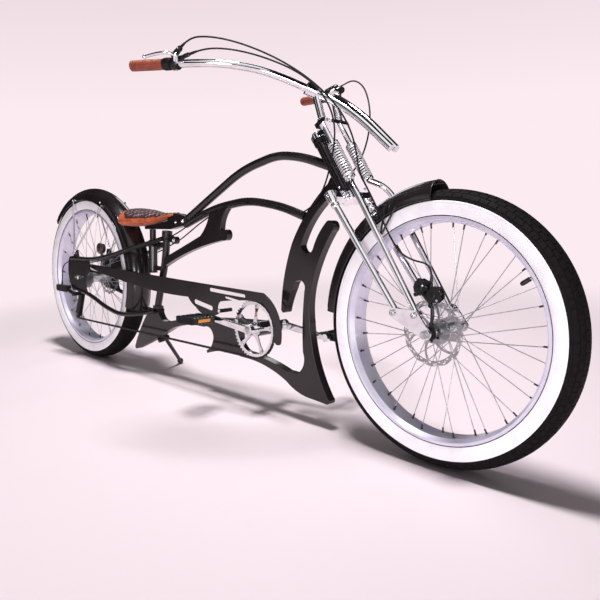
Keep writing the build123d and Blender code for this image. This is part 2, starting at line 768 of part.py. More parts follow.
def fender_section():
    r, w, t = fender_ring, fender_half_width, fender_thick
    outer = ThreePointArc((r, w), (r + w, 0), (r, -w))
    inner = ThreePointArc((r, -w + t), (r + w - t, 0), (r, w - t))
    return make_face(Wire([outer, Line((r, -w), (r, -w + t)), inner, Line((r, w - t), (r, w))]))


def fender(centre, start, end):
    """A half-round guard over the wheel between two angles, counted up from straight ahead."""
    band = revolve(fender_section(), axis=Axis.Y, revolution_arc=end - start)
    return Pos(*centre) * (Rot(0, -end, 0) * band)


def fender_stays(side):
    """The rear guard's V of thin rods from one bolt over the dropout."""
    foot = (-25, side * 91.5, 480)
    body = across(foot[0], foot[2], side * (dropout_in + dropout_thick + run_gap), side * 95, 6)
    for x, z in (around(rear_axle, fender_ring + 10, 64), around(rear_axle, fender_ring + 7.4, 104)):
        body += rod(foot, (x, side * (fender_half_width + 5), z), 3.5)
        body += across(x, z, side * (fender_half_width - 1), side * (fender_half_width + 9), 5)
    return body - fender(rear_axle, rear_fender_low, rear_fender_end)


# saddle

def saddle_shape():
    """The leather's outer form: a side view crossed with a plan view, hollowed over the wheel's guard."""
    side_view = outline((268, 640), [((272, 664), (306, 680)), ((350, 684), (420, 679)), ((490, 667), (545, 657)),
                ((580, 656), (603, 661)), (603, 640), ((500, 622), (420, 612)), ((345, 604), (290, 612))])
    plan = outline((268, 0), [((275, 58), (318, 92)), ((360, 96), (412, 74)), ((465, 42), (520, 31)), ((575, 27), (604, 0)),
            ((575, -27), (520, -31)), ((465, -42), (412, -74)), ((360, -96), (318, -92)), ((275, -58), (268, 0))])
    slab = extrude(Plane.XZ * side_view, amount=110, both=True)
    body = slab & (Pos(0, 0, 500) * extrude(plan, amount=300))
    guard = fender_ring + fender_half_width + 1.5
    return body - across(0, axle_height, -fender_half_width - 2, fender_half_width + 2, guard)


def seat_base():
    """The plate under the leather that runs on to the frame's nose bolt."""
    face = fitted((430, 600), [(600, 604), (688, 620), ((706, 634), (700, 656)), (650, 666), (596, 660), (430, 640)])
    body = blade(face, 34) + across(fit(690), 638, -21, 21, 11)
    return body - saddle_shape() - upper_tube() - second_tube()


# stand

stand_pivot = (stand_x, stand_y, stand_z)


def unit(v):
    length = sqrt(sum(c * c for c in v))
    return tuple(c / length for c in v)


def stand_down():
    """The leg's run when it is out: its foot touches the ground that the tyres touch, at the parked lean."""
    low = tyre_lowest() + foot_radius
    foot_z = (low + foot_y * sin(radians(lean))) / cos(radians(lean))
    dy, dz = foot_y - stand_y, foot_z - stand_z
    return unit((-sqrt(stand_length ** 2 - dy ** 2 - dz ** 2), dy, dz))


def tyre_lowest():
    """The height, in the leaned view, of the lowest point of a tyre's skin."""
    return (axle_height - tyre_radius) * cos(radians(lean)) - tread_flat * sin(radians(lean))


stand_up = unit((cos(radians(stand_folded_rise)), 0.02, sin(radians(stand_folded_rise))))


def stand_hinge():
    """The hinge line square to the difference of both runs, as near to straight across as that allows."""
    down = stand_down()
    gap = unit(tuple(a - b for a, b in zip(down, stand_up)))
    return unit(tuple(a - gap[1] * b for a, b in zip((0, 1, 0), gap)))


def stand_swing():
    k, down = stand_hinge(), stand_down()

    def flat(v):
        along = sum(a * b for a, b in zip(v, k))
        return unit(tuple(a - along * b for a, b in zip(v, k)))
    return degrees(acos(sum(a * b for a, b in zip(flat(down), flat(stand_up)))))


def stand_leg():
    p, d, k = Vector(*stand_pivot), Vector(*stand_down()), Vector(*stand_hinge())
    foot = p + d * stand_length
    body = rod(p, foot, stand_radius) + Pos(foot) * Sphere(foot_radius)
    body += rod(p - k * 9, p + k * 11, 13)
    return body - rod(p - k * 20, p + k * 20, 5.3)


def stand_bracket():
    """A bolt and two cheeks under the tail blade."""
    p, k = Vector(*stand_pivot), Vector(*stand_hinge())
    bolt = rod(p - k * 30, p + k * 17, 5)
    head = rod(p + k * 11.6, p + k * 17, 7)
    inner = rod(p - k * 30, p - k * 9.6, 14)
    return bolt + head + inner - lower_frame()


def leg_spot(top, foot, v):
    """Where a leg that runs between two points of the fork's frame passes a height v."""
    share = (v - top[1]) / (foot[1] - top[1])
    x, _, z = fork_point(top[0] + share * (foot[0] - top[0]), 0, v)
    return x, z


def front_fender():
    """Turns with the fork, on short studs out to both of its legs."""
    band = fender(front_axle, front_fender_low, front_fender_end)
    spots = (leg_spot((2, -cup_height - 4), (rocker_u, rocker_v), -160),
             leg_spot((spring_u + 24, -74), (spring_leg_u, spring_leg_v), -150))
    for side in (1, -1):
        for x, z in spots:
            band += across(x, z, side * (fender_half_width - 4), side * (leg_y - leg_radius + 3), 4)
        band -= rear_leg(side) + front_leg(side)
    return band - fender_room(front_axle)


def fender_room(centre):
    """The space inside a guard, that its studs stay out of."""
    r, w = fender_ring, fender_half_width - fender_thick
    half = make_face(Wire([ThreePointArc((r, w), (r + w, 0), (r, -w)), Line((r, -w), (r - 60, -w)),
                           Line((r - 60, -w), (r - 60, w)), Line((r - 60, w), (r, w))]))
    return ring_of(half, centre)


def rear_fender():
    """Bolted to the lower frame ahead of the wheel and held by its stays behind."""
    band = fender(rear_axle, rear_fender_low, rear_fender_end)
    x, z = around(rear_axle, fender_ring + 51, -15)
    return band + rod((x, 0, z), (446, 0, 250), 6) - fender_room(rear_axle) - lower_frame()


def seat_post():
    return rod((post_x, 0, post_foot), (post_x, 0, post_top), post_radius)


def both(make):
    return Compound([solid for side in (-1, 1) for solid in make(side).solids()])


def control_clamps(side):
    return Compound(lever_mount(side).solids() + shifter(side).solids())


nodes = {
    "head_tube": head_tube(), "headset_cups": headset(), "down_tube_blade": down_tube(),
    "lower_frame_blade": lower_frame(), "seat_tube": seat_tube(), "upper_tube": upper_tube(),
    "second_tube": second_tube(), "strut_blade": strut(), "rear_stays_right": rear_stays(-1),
    "rear_stays_left": rear_stays(1), "seat_carrier": seat_carrier(), "chain_guard": chain_guard(), "chain": chain(),
    "derailleur": derailleur(),
    "rear_axle": axle(rear_axle, rear_axle_half, (dropout_in - 4.5, dropout_in - run_gap),
                      dropout_in + dropout_thick + run_gap),
    "rear_fender": rear_fender(), "rear_fender_stays": both(fender_stays), "rear_caliper": rear_caliper(),
    "reflector": reflector(), "seat_post": seat_post(), "seat_base": seat_base(),
    "saddle_shell": saddle_shape(), "stand_bracket": stand_bracket(),
    "fork_crown": lower_crown() + steerer(), "fork_legs": both(rear_leg), "spring_legs": both(front_leg),
    "coil_springs": both(coil), "top_bridge": top_bridge(), "rockers": both(rocker),
    "front_axle": axle(front_axle, 110, (72, rocker_in - run_gap), rocker_in + rocker_thick + run_gap),
    "front_fender": front_fender(), "front_caliper": front_caliper(), "risers": both(riser),
    "bar_right": bar_half(-1), "bar_left": bar_half(1), "grips": both(grip), "control_clamps": both(control_clamps),
    "brake_levers": both(brake_lever), "front_brake_hose": front_hose(),
    "rear_brake_hose": long_line(1, caliper_run), "shift_cable": long_line(-1, derailleur_run),
    "chainring": chainring(), "crank_right": crank(-1), "crank_left": crank(1),
    "pedal_right": pedal(-1), "pedal_left": pedal(1), "cassette": cassette(), "stand_leg": stand_leg(),
}
for end, centre, barrel, rotor_side in (("front", front_axle, 71.7, -1), ("rear", rear_axle, 73.2, 1)):
    nodes[end + "_tyre"] = tyre(centre)
    nodes[end + "_whitewalls"] = whitewalls(centre)
    nodes[end + "_rim"] = rim(centre)
    nodes[end + "_spokes"] = spokes(centre)
    nodes[end + "_hub"] = hub(centre, barrel)
    nodes[end + "_rotor"] = rotor(centre, rotor_side, 65)

# park it: lean it onto the stand, then centre it over the origin with its lowest point at z = 0
tilt = Rot(-lean, 0, 0)
box = Compound([(tilt * solid) for solid in nodes.values()]).bounding_box()
parked = Pos(-box.center().X, -box.center().Y, -box.min.Z) * tilt

os.makedirs("parts", exist_ok=True)
for name, solid in nodes.items():
    export_step(parked * solid, "parts/" + name + ".step")
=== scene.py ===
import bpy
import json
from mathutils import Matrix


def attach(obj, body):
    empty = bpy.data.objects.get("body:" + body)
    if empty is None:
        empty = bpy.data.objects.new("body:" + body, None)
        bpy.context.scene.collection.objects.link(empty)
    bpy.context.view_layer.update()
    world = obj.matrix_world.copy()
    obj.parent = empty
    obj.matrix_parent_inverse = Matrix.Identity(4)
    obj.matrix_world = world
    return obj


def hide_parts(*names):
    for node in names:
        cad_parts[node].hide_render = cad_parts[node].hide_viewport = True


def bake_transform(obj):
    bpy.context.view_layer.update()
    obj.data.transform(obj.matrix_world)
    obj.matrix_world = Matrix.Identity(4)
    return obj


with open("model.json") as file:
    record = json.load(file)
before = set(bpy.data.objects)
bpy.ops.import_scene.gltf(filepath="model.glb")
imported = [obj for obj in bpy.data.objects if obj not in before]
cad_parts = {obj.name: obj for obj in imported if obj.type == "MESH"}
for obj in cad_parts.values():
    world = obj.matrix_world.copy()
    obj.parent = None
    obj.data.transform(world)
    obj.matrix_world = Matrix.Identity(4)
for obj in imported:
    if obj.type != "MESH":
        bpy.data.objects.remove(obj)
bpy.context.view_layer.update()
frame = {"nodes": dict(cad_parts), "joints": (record.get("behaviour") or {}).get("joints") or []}        # nodes and joints of the parked bicycle

import json
import math

import bmesh
import bpy
from mathutils import Matrix, Vector

nodes = frame["nodes"]
joints = {joint["name"]: joint for joint in frame["joints"]}
fullTurn = 2 * math.pi
bothSides = (1, -1)

# places: pieces are drawn on the upright bicycle, origin under the rear axle, then leaned with these matrices
axleHeight, frontX = 0.372, 1.824
rearAxle = Vector(joints["rear_wheel_spin"]["pos_m"])
frontAxle = Vector(joints["front_wheel_spin"]["pos_m"])
forward = (frontAxle - rearAxle).normalized()
across = Vector(joints["rear_wheel_spin"]["axis"]).normalized()
upward = forward.cross(across)


def basis(x, y, z, spot):  # a place from its three axes
    return Matrix([[x[i], y[i], z[i], spot[i]] for i in range(3)] + [[0, 0, 0, 1]])


bike = basis(forward, across, upward, rearAxle - upward * axleHeight)
rearWheel = basis(forward, across, upward, rearAxle)
frontWheel = basis(forward, across, upward, frontAxle)
steerAxis = Vector(joints["steering"]["axis"]).normalized()
fork = basis(across.cross(steerAxis), across, steerAxis, Vector(joints["steering"]["pos_m"]))  # ahead, across, up
print("places read from the frame")


# node helpers

def fromScreen(*colour):  # screen values up to 255 to linear colour
    return tuple(((c / 255 + 0.055) / 1.055) ** 2.4 if c > 10 else c / 255 / 12.92 for c in colour) + (1,)


def newObject(name, data):
    thing = bpy.data.objects.new(name, data)
    bpy.context.scene.collection.objects.link(thing)
    return thing


def newNode(tree, kind, inputs={}, **settings):  # its inputs are values, or sockets to link from
    node = tree.nodes.new("ShaderNode" + kind)
    for key, value in settings.items():
        setattr(node, key, value)
    for key, value in inputs.items():
        if isinstance(value, bpy.types.NodeSocket):
            tree.links.new(value, node.inputs[key])
        else:
            node.inputs[key].default_value = value
    return node


def joined(tree, operation, first, second):  # two values put together by a product or maximum
    return newNode(tree, "Math", {0: first, 1: second}, operation=operation).outputs[0]


def pointing(tree, place, toward):  # how far a direction or place points a given way
    return newNode(tree, "VectorMath", {0: place, 1: toward}, operation="DOT_PRODUCT").outputs["Value"]


def colourRamp(tree, value, stops):
    ramp = newNode(tree, "ValToRGB", {0: value})
    while len(ramp.color_ramp.elements) < len(stops):
        ramp.color_ramp.elements.new(1.0)
    for element, (spot, colour) in zip(ramp.color_ramp.elements, stops):
        element.position = spot
        element.color = colour
    return ramp.outputs[0]


# 1 for camera and transmission rays, and for glossy rays 1 or a value of its own
def seenByEye(tree, inMirrors=None):
    path = newNode(tree, "LightPath")
    mirrored = path.outputs["Is Glossy Ray"]
    if inMirrors:
        mirrored = joined(tree, "MULTIPLY", mirrored, inMirrors)
    straight = joined(tree, "MAXIMUM", path.outputs["Is Camera Ray"], path.outputs["Is Transmission Ray"])
    return joined(tree, "MAXIMUM", straight, mirrored)


# camera, floor and light

cameraView = {"spot": (2.6824, -1.4818, 0.6691), "yaw": 133.189, "pitch": -7.625, "roll": 1.079,  # on the bicycle
              "focal": 634.98, "picture": 600, "sensor": 36}  # pixels, pixels and millimetres
stageLook = {
    # high: the backdrop's colour further up, darker than at the horizon: painted shade standing in for the lamps'
    # falloff
    "backdrop": (252, 236, 241), "high": (226, 207, 213), "floor": (250, 234, 240),  # screen colours
    "half": 30, "fade": (1.45, 2.9),  # the floor's half side, and where it turns into backdrop
    "daylight": (1, 0.985, 0.99, 1), "ambient": 0.13,
    "paleSide": (0.68, -0.73, 0), "nearEdge": 0.6,  # mirrors see pale things on this side only
}
mirrorLook = {  # flags and panels that only polished metal shows, by how far up a slanted line they are
    "dark": (0.012, 0.01, 0.013, 1), "white": (1.0, 1.0, 1.0, 1), "mauve": (0.42, 0.36, 0.5, 1),
    "line": (0.35, -0.45, 0.82),
    "bands": ((0.0, "pale"), (0.08, "pale"), (0.11, "dark"), (0.33, "dark"), (0.36, "white"), (0.43, "white"),
              (0.46, "mauve"), (0.51, "dark"), (0.82, "dark"), (0.86, "white")),
}
lamps = {  # where it hangs, its size, its power and whether it lights the floor
    "topSoft": ((0.1, -0.1, 4.2), 0.8, 166, True),
    "frontSoft": ((3.9, -1.9, 0.8), 1.2, 52, False),
    "driveSoft": ((2.2, -4.4, 0.9), 1.6, 105, False),
    "backRim": ((-2.6, 2.8, 2.4), 1.4, 14, True),
}
lampTarget = Vector((0, 0, 0.45))


def makeCamera():
    yaw, pitch, roll = (math.radians(cameraView[key]) for key in ("yaw", "pitch", "roll"))
    ahead = Vector((math.cos(pitch) * math.cos(yaw), math.cos(pitch) * math.sin(yaw), math.sin(pitch)))
    right = ahead.cross(Vector((0, 0, 1))).normalized()
    top = right.cross(ahead)
    turnedRight = right * math.cos(roll) + top * math.sin(roll)
    turnedTop = top * math.cos(roll) - right * math.sin(roll)
    camera = newObject("camera", bpy.data.cameras.new("camera"))
    camera.data.sensor_width = cameraView["sensor"]
    camera.data.lens = cameraView["focal"] * cameraView["sensor"] / cameraView["picture"]
    camera.matrix_world = bike @ basis(turnedRight, turnedTop, -ahead, Vector(cameraView["spot"]))
    bpy.context.scene.camera = camera


def makeWorld():
    world = bpy.data.worlds.new("studio")
    bpy.context.scene.world = world
    world.use_nodes = True
    tree = world.node_tree
    plain = tree.nodes["Background"]
    plain.inputs["Color"].default_value = stageLook["daylight"]
    plain.inputs["Strength"].default_value = stageLook["ambient"]
    place = newNode(tree, "TexCoord").outputs["Generated"]
    pale, dark = fromScreen(*stageLook["backdrop"]), mirrorLook["dark"]
    # the backdrop seen by the eye darkens from the horizon up to the high colour: painted shade
    wall = colourRamp(tree, pointing(tree, place, (0, 0, 1)),
                      ((0.0, pale), (0.1, pale), (0.36, fromScreen(*stageLook["high"]))))
    bands = colourRamp(tree, pointing(tree, place, mirrorLook["line"]),
                       [(spot, {"pale": pale, **mirrorLook}[name]) for spot, name in mirrorLook["bands"]])
    near = colourRamp(tree, pointing(tree, place, stageLook["paleSide"]),
                      ((0.0, dark), (0.04, mirrorLook["white"])))
    shade = newNode(tree, "Mix", {"Factor": near, 6: dark, 7: bands}, data_type="RGBA").outputs[2]
    glossy = newNode(tree, "LightPath").outputs["Is Glossy Ray"]
    both = newNode(tree, "Mix", {"Factor": glossy, 6: wall, 7: shade}, data_type="RGBA").outputs[2]
    shown = newNode(tree, "Background", {"Color": both})
    mix = newNode(tree, "MixShader", {0: seenByEye(tree), 1: plain.outputs[0], 2: shown.outputs[0]})
    tree.links.new(mix.outputs[0], tree.nodes["World Output"].inputs["Surface"])


def makeFloor():
    half = stageLook["half"]
    mesh = bpy.data.meshes.new("floor")
    mesh.from_pydata([(-half, -half, 0), (half, -half, 0), (half, half, 0), (-half, half, 0)], [], [(0, 1, 2, 3)])
    floor = newObject("floor", mesh)
    look = bpy.data.materials.new("floorPaint")
    look.use_nodes = True
    tree = look.node_tree
    matt = tree.nodes["Principled BSDF"]
    matt.inputs["Base Color"].default_value = fromScreen(*stageLook["floor"])
    matt.inputs["Roughness"].default_value = 0.8
    matt.inputs["Specular IOR Level"].default_value = 0.1
    place = newNode(tree, "NewGeometry").outputs["Position"]
    reach = newNode(tree, "VectorMath", {0: place}, operation="LENGTH").outputs["Value"]
    low, high = stageLook["fade"]
    fade = newNode(tree, "MapRange", {"From Min": low, "From Max": high, "Value": reach},
                   interpolation_type="SMOOTHSTEP").outputs[0]
    near = newNode(tree, "MapRange", {"From Min": -stageLook["nearEdge"], "From Max": stageLook["nearEdge"],
                                      "Value": pointing(tree, place, stageLook["paleSide"])}).outputs[0]
    glow = newNode(tree, "Emission", {"Color": fromScreen(*stageLook["backdrop"])})
    share = joined(tree, "MULTIPLY", fade, seenByEye(tree, near))
    mix = newNode(tree, "MixShader", {0: share, 1: matt.outputs[0], 2: glow.outputs[0]})
    tree.links.new(mix.outputs[0], tree.nodes["Material Output"].inputs["Surface"])
    mesh.materials.append(look)
    return floor


def makeLamps(floor):
    unlit = bpy.data.collections.new("unlit")  # the low lamps miss the floor, so its shadows stay dark
    unlit.objects.link(floor)
    unlit.collection_objects[0].light_linking.link_state = "EXCLUDE"
    for name, (spot, size, power, onFloor) in lamps.items():
        lamp = newObject(name, bpy.data.lights.new(name, "AREA"))
        lamp.data.shape = "DISK"
        lamp.data.size = size
        lamp.data.energy = power
        lamp.location = spot
        lamp.rotation_euler = (lampTarget - Vector(spot)).to_track_quat("-Z", "Y").to_euler()
        if not onFloor:
            lamp.light_linking.receiver_collection = unlit


makeCamera()
makeWorld()
makeLamps(makeFloor())
bpy.context.scene.view_settings.view_transform = "Standard"
print("camera, floor and lamps ready")


# finishes

def leather(dark, light, grain):
    return {"Base Color": fromScreen(*light), "Sheen Weight": 0.12, "Sheen Roughness": 0.5,
            "tint": (45, 7, (0.28, fromScreen(*dark)), (0.72, fromScreen(*light))), "rough": (110, 5, 0.36, 0.58),
            "bumps": ((grain, None, 0.28, 0.0007), (60, 5, 0.12, 0.0015))}


def sewingThread(*colour):
    return {"Base Color": fromScreen(*colour), "Roughness": 0.7, "bumps": ((1500, 2, 0.3, 0.0004),)}


def lens(*colour):  # prisms behind a clear face
    return {"Base Color": (*colour, 1), "Roughness": 0.14, "Coat Weight": 0.8, "bumps": ((330, None, 0.7, 0.0012),)}


# Shader sockets by name, then patterns, each from its scale and detail: tint with its two colour stops, rough
# with the range of roughness, and bumps with strength and depth. A pattern without detail is of round cells.
finishes = {
    "blackPaint": {"Base Color": fromScreen(24, 20, 22), "Roughness": 0.2, "Specular IOR Level": 0.3,
                   "Coat Weight": 0.35, "Coat Roughness": 0.05, "softEdge": 0.0035,
                   "tint": (9, 3, (0.3, fromScreen(22, 17, 19)), (0.7, fromScreen(34, 28, 30))),
                   "rough": (30, 6, 0.16, 0.3), "bumps": ((240, 2, 0.04, 0.0005),)},  # orange peel of sprayed paint
    "blackAnodised": {"Base Color": fromScreen(20, 18, 19), "Metallic": 0.35, "Roughness": 0.4,
                      "tint": (60, 4, (0.3, fromScreen(13, 11, 12)), (0.75, fromScreen(30, 27, 29))),
                      "rough": (90, 5, 0.3, 0.52), "bumps": ((900, 2, 0.12, 0.0004),)},
    "chromePlate": {"Base Color": (0.84, 0.84, 0.86, 1), "Metallic": 1.0, "Roughness": 0.06,
                    "tint": (22, 5, (0.3, (0.72, 0.71, 0.75, 1)), (0.6, (0.9, 0.9, 0.92, 1))),
                    "rough": (55, 6, 0.03, 0.13), "bumps": ((70, 2, 0.03, 0.0006),)},  # over hand-polished tube
    "brushedSteel": {"Base Color": (0.6, 0.6, 0.62, 1), "Metallic": 1.0, "Roughness": 0.3,
                     "tint": (80, 4, (0.25, (0.42, 0.42, 0.44, 1)), (0.7, (0.68, 0.68, 0.7, 1))),
                     "rough": (300, 3, 0.2, 0.42, (1, 8, 1))},
    "rimPolish": {"Base Color": (0.74, 0.71, 0.84, 1), "Metallic": 0.55, "Roughness": 0.3,
                  "tint": (14, 4, (0.3, (0.66, 0.62, 0.8, 1)), (0.7, (0.8, 0.77, 0.88, 1))),
                  "rough": (160, 3, 0.24, 0.4)},
    "treadRubber": {"Base Color": fromScreen(24, 21, 22), "Roughness": 0.75, "Specular IOR Level": 0.1,
                    "tint": (120, 5, (0.3, fromScreen(11, 8, 9)), (0.75, fromScreen(26, 21, 23))),
                    "rough": (60, 5, 0.6, 0.85), "bumps": ((1100, 3, 0.25, 0.0005),)},
    "whiteRubber": {"Base Color": fromScreen(240, 234, 240), "Specular IOR Level": 0.3,
                    "tint": (26, 6, (0.3, fromScreen(234, 227, 235)), (0.65, fromScreen(245, 240, 246))),
                    "rough": (90, 4, 0.38, 0.56), "bumps": ((420, 2, 0.06, 0.0005),)},
    "mouldedPlastic": {"Base Color": fromScreen(27, 26, 27), "bumps": ((700, 3, 0.2, 0.0006),),
                       "tint": (50, 3, (0.3, fromScreen(22, 21, 22)), (0.7, fromScreen(35, 34, 35)))},
    "coilWire": {"Base Color": (0.86, 0.85, 0.88, 1), "Metallic": 0.75, "Roughness": 0.34,
                 "tint": (90, 4, (0.3, (0.74, 0.73, 0.77, 1)), (0.7, (0.9, 0.89, 0.92, 1)))},
    "hoseCover": {"Base Color": fromScreen(12, 10, 11), "Specular IOR Level": 0.25, "rough": (200, 3, 0.42, 0.6),
                  "bumps": ((500, 2, 0.08, 0.0004),)},
    "saddleHide": leather((150, 58, 20), (212, 100, 48), 620),
    "quiltHide": leather((24, 10, 10), (54, 24, 21), 520),
    "gripHide": leather((112, 38, 17), (152, 64, 32), 800),
    "waxedThread": sewingThread(88, 44, 22),
    "quiltThread": sewingThread(168, 126, 138),
    "smokeLens": lens(0.03, 0.012, 0.014),
    "amberLens": lens(0.75, 0.25, 0.02),
}


def patternOf(tree, scale, detail, stretch=(1, 1, 1)):
    spot = newNode(tree, "Mapping", {0: newNode(tree, "TexCoord").outputs["Object"], "Scale": stretch}).outputs[0]
    if detail is None:
        return newNode(tree, "TexVoronoi", {"Scale": scale, "Vector": spot}).outputs["Distance"]
    return newNode(tree, "TexNoise", {"Scale": scale, "Detail": detail, "Vector": spot}).outputs["Fac"]


def makeLook(name):
    finish = finishes[name]
    look = bpy.data.materials.new(name)
    look.use_nodes = True
    tree = look.node_tree
    sockets = tree.nodes["Principled BSDF"].inputs
    for key, value in finish.items():
        if key in sockets:
            sockets[key].default_value = value
    if "softEdge" in finish:  # rounds the look of sharp edges, so that they catch the light
        edge = newNode(tree, "Bevel", {"Radius": finish["softEdge"]}, samples=6)
        tree.links.new(edge.outputs[0], sockets["Normal"])
    if "tint" in finish:
        scale, detail, *stops = finish["tint"]
        tree.links.new(colourRamp(tree, patternOf(tree, scale, detail), stops), sockets["Base Color"])
    if "rough" in finish:
        scale, detail, low, high, *stretch = finish["rough"]
        spread = {"To Min": low, "To Max": high, "Value": patternOf(tree, scale, detail, *stretch)}
        tree.links.new(newNode(tree, "MapRange", spread).outputs[0], sockets["Roughness"])
    for scale, detail, strength, depth in finish.get("bumps", ()):
        height = patternOf(tree, scale, detail)
        relief = newNode(tree, "Bump", {"Strength": strength, "Distance": depth, "Height": height})
        if sockets["Normal"].links:
            tree.links.new(sockets["Normal"].links[0].from_socket, relief.inputs["Normal"])
        tree.links.new(relief.outputs[0], sockets["Normal"])
    return look


(paint, parts, chrome, steel, rimMetal, tread, white, plastic, coilMetal, hose, saddleHide, quiltHide, gripHide,
 thread, quiltThread, smokeLens, amberLens) = (makeLook(name) for name in finishes)
print("finishes ready")

nodeLooks = {
    paint: "head_tube down_tube_blade lower_frame_blade seat_tube upper_tube second_tube strut_blade rear_stays_right"
           " rear_stays_left seat_carrier chain_guard rear_fender front_fender seat_base stand_bracket stand_leg",
    parts: "seat_post derailleur rear_caliper front_caliper control_clamps cassette headset_cups reflector",
    hose: "front_brake_hose rear_brake_hose shift_cable",
    chrome: "rear_fender_stays fork_crown fork_legs spring_legs coil_springs top_bridge rockers risers bar_right"
            " bar_left brake_levers chainring crank_right crank_left",
    steel: "chain rear_axle front_axle front_rotor rear_rotor front_spokes rear_spokes front_hub rear_hub",
    rimMetal: "front_rim rear_rim",
    tread: "front_tyre rear_tyre",
    white: "front_whitewalls rear_whitewalls",
    saddleHide: "saddle_shell",
    gripHide: "grips",
    plastic: "pedal_right pedal_left",
}
for look, names in nodeLooks.items():
    for name in names.split():
        nodes[name].data.materials.clear()
        nodes[name].data.materials.append(look)


# mesh helpers: each adds to a bmesh, in the piece's own place

sharpAngle, bevelAngle = math.radians(34), math.radians(40)


def addFaces(bm, faces, look=0):
    for corners in faces:
        bm.faces.new(corners).material_index = look


def atAngle(a, radius, y=0.0):  # a place round the wheel's axle or the bracket, seen from the side
    return Vector((radius * math.cos(a), y, radius * math.sin(a)))


# Turns a profile of radius and height about the place's z. Ends are capped unless the profile is a closed loop.
def lathe(bm, profile, place=Matrix(), steps=48, closed=False, look=0, start=0.0, arc=fullTurn):
    whole = arc >= fullTurn
    rings = []
    for k in range(steps if whole else steps + 1):
        a = start + arc * k / steps
        rings.append([bm.verts.new(place @ Vector((r * math.cos(a), r * math.sin(a), h))) for r, h in profile])
    for one, two in zip(rings, rings[1:] + (rings[:1] if whole else [])):
        for i in range(len(profile) if closed else len(profile) - 1):
            j = (i + 1) % len(profile)
            addFaces(bm, [(one[i], two[i], two[j], one[j])], look)
    if whole and not closed:
        addFaces(bm, ([ring[0] for ring in reversed(rings)], [ring[-1] for ring in rings]), look)
    if closed and not whole:
        addFaces(bm, (rings[0], rings[-1][::-1]), look)


def aim(spot, direction):  # a place whose z points along a direction
    return Matrix.Translation(Vector(spot)) @ Vector(direction).to_track_quat("Z", "Y").to_matrix().to_4x4()


def sweep(bm, points, radius, sides=10, look=0):  # a round bar along points
    spots = [Vector(p) for p in points]
    angles = [fullTurn * k / sides for k in range(sides)]
    normal = None
    rings = []
    for before, spot, after in zip(spots[:1] + spots, spots, spots[1:] + spots[-1:]):
        way = (after - before).normalized()
        if normal is None:
            normal = way.orthogonal().normalized()
        normal = (normal - way * normal.dot(way)).normalized()
        side = way.cross(normal)
        rings.append([bm.verts.new(spot + radius * (normal * math.cos(a) + side * math.sin(a))) for a in angles])
    for one, two in zip(rings, rings[1:]):
        addFaces(bm, [(one[k], one[(k + 1) % sides], two[(k + 1) % sides], two[k]) for k in range(sides)], look)
    addFaces(bm, (rings[0][::-1], rings[-1]), look)


# A flat outline given as x and y, from one height to another; taper shrinks its far end.
def prism(bm, loop, low, high, place=Matrix(), taper=1.0, look=0):
    count = len(loop)
    middle = Vector([sum(p[i] for p in loop) / count for i in (0, 1)])
    near = [bm.verts.new(place @ Vector((x, y, low))) for x, y in loop]
    far = [(middle.x + (x - middle.x) * taper, middle.y + (y - middle.y) * taper) for x, y in loop]
    far = [bm.verts.new(place @ Vector((x, y, high))) for x, y in far]
    addFaces(bm, (near[::-1], far), look)
    addFaces(bm, [(near[i], near[i + 1 - count], far[i + 1 - count], far[i]) for i in range(count)], look)


def cuboid(bm, size, place, taper=1.0, look=0):
    x, y, z = (s / 2 for s in size)
    prism(bm, [(-x, -y), (x, -y), (x, y), (-x, y)], -z, z, place, taper, look)


def bolt(bm, spot, direction, radius=0.004, height=0.003, look=0):  # a domed cap screw with its socket
    shape = ((1.35, None), (1.35, 0.12), (1, 0.14), (1, 0.7), (0.78, 1), (0.46, 1), (0.4, 0.35))  # shares
    profile = [(radius * r, -0.0004 if h is None else height * h) for r, h in shape]
    lathe(bm, profile, aim(spot, direction), steps=14, look=look)


def hexNut(bm, spot, direction, radius, height):
    place = aim(spot, direction)
    lathe(bm, [(radius * 1.25, 0), (radius * 1.25, height * 0.2), (radius, height * 0.2)], place, steps=18)
    loop = [(radius * math.cos(fullTurn * k / 6), radius * math.sin(fullTurn * k / 6)) for k in range(6)]
    prism(bm, loop, height * 0.2, height, place, 0.93)


def smoothed(points):  # rounds a line's corners by cutting them twice
    line = [Vector(p) for p in points]
    for _ in range(2):
        cut = [one.lerp(two, t) for one, two in zip(line, line[1:]) for t in (0.25, 0.75)]
        line = [line[0]] + cut[1:-1] + [line[-1]]
    return line


def finishPiece(bm, name, body, looks, place=bike, replaces=(), bevel=None, subdivide=0):  # bmesh to piece
    bmesh.ops.recalc_face_normals(bm, faces=bm.faces[:])
    for edge in bm.edges:
        if len(edge.link_faces) == 2 and edge.calc_face_angle(0) > sharpAngle:
            edge.smooth = False
    for face in bm.faces:
        face.smooth = True
    mesh = bpy.data.meshes.new(name)
    bm.to_mesh(mesh)
    bm.free()
    mesh.transform(place)
    for look in looks:
        mesh.materials.append(look)
    piece = newObject(name, mesh)
    if bevel:
        rounding = piece.modifiers.new("edges", "BEVEL")
        rounding.width = bevel
        rounding.segments = 2
        rounding.limit_method = "ANGLE"
        rounding.angle_limit = bevelAngle
        rounding.harden_normals = True
    if subdivide:
        finer = piece.modifiers.new("finer", "SUBSURF")
        finer.levels = finer.render_levels = subdivide
    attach(piece, body)
    if replaces:
        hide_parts(*replaces)
    return piece


# wheels

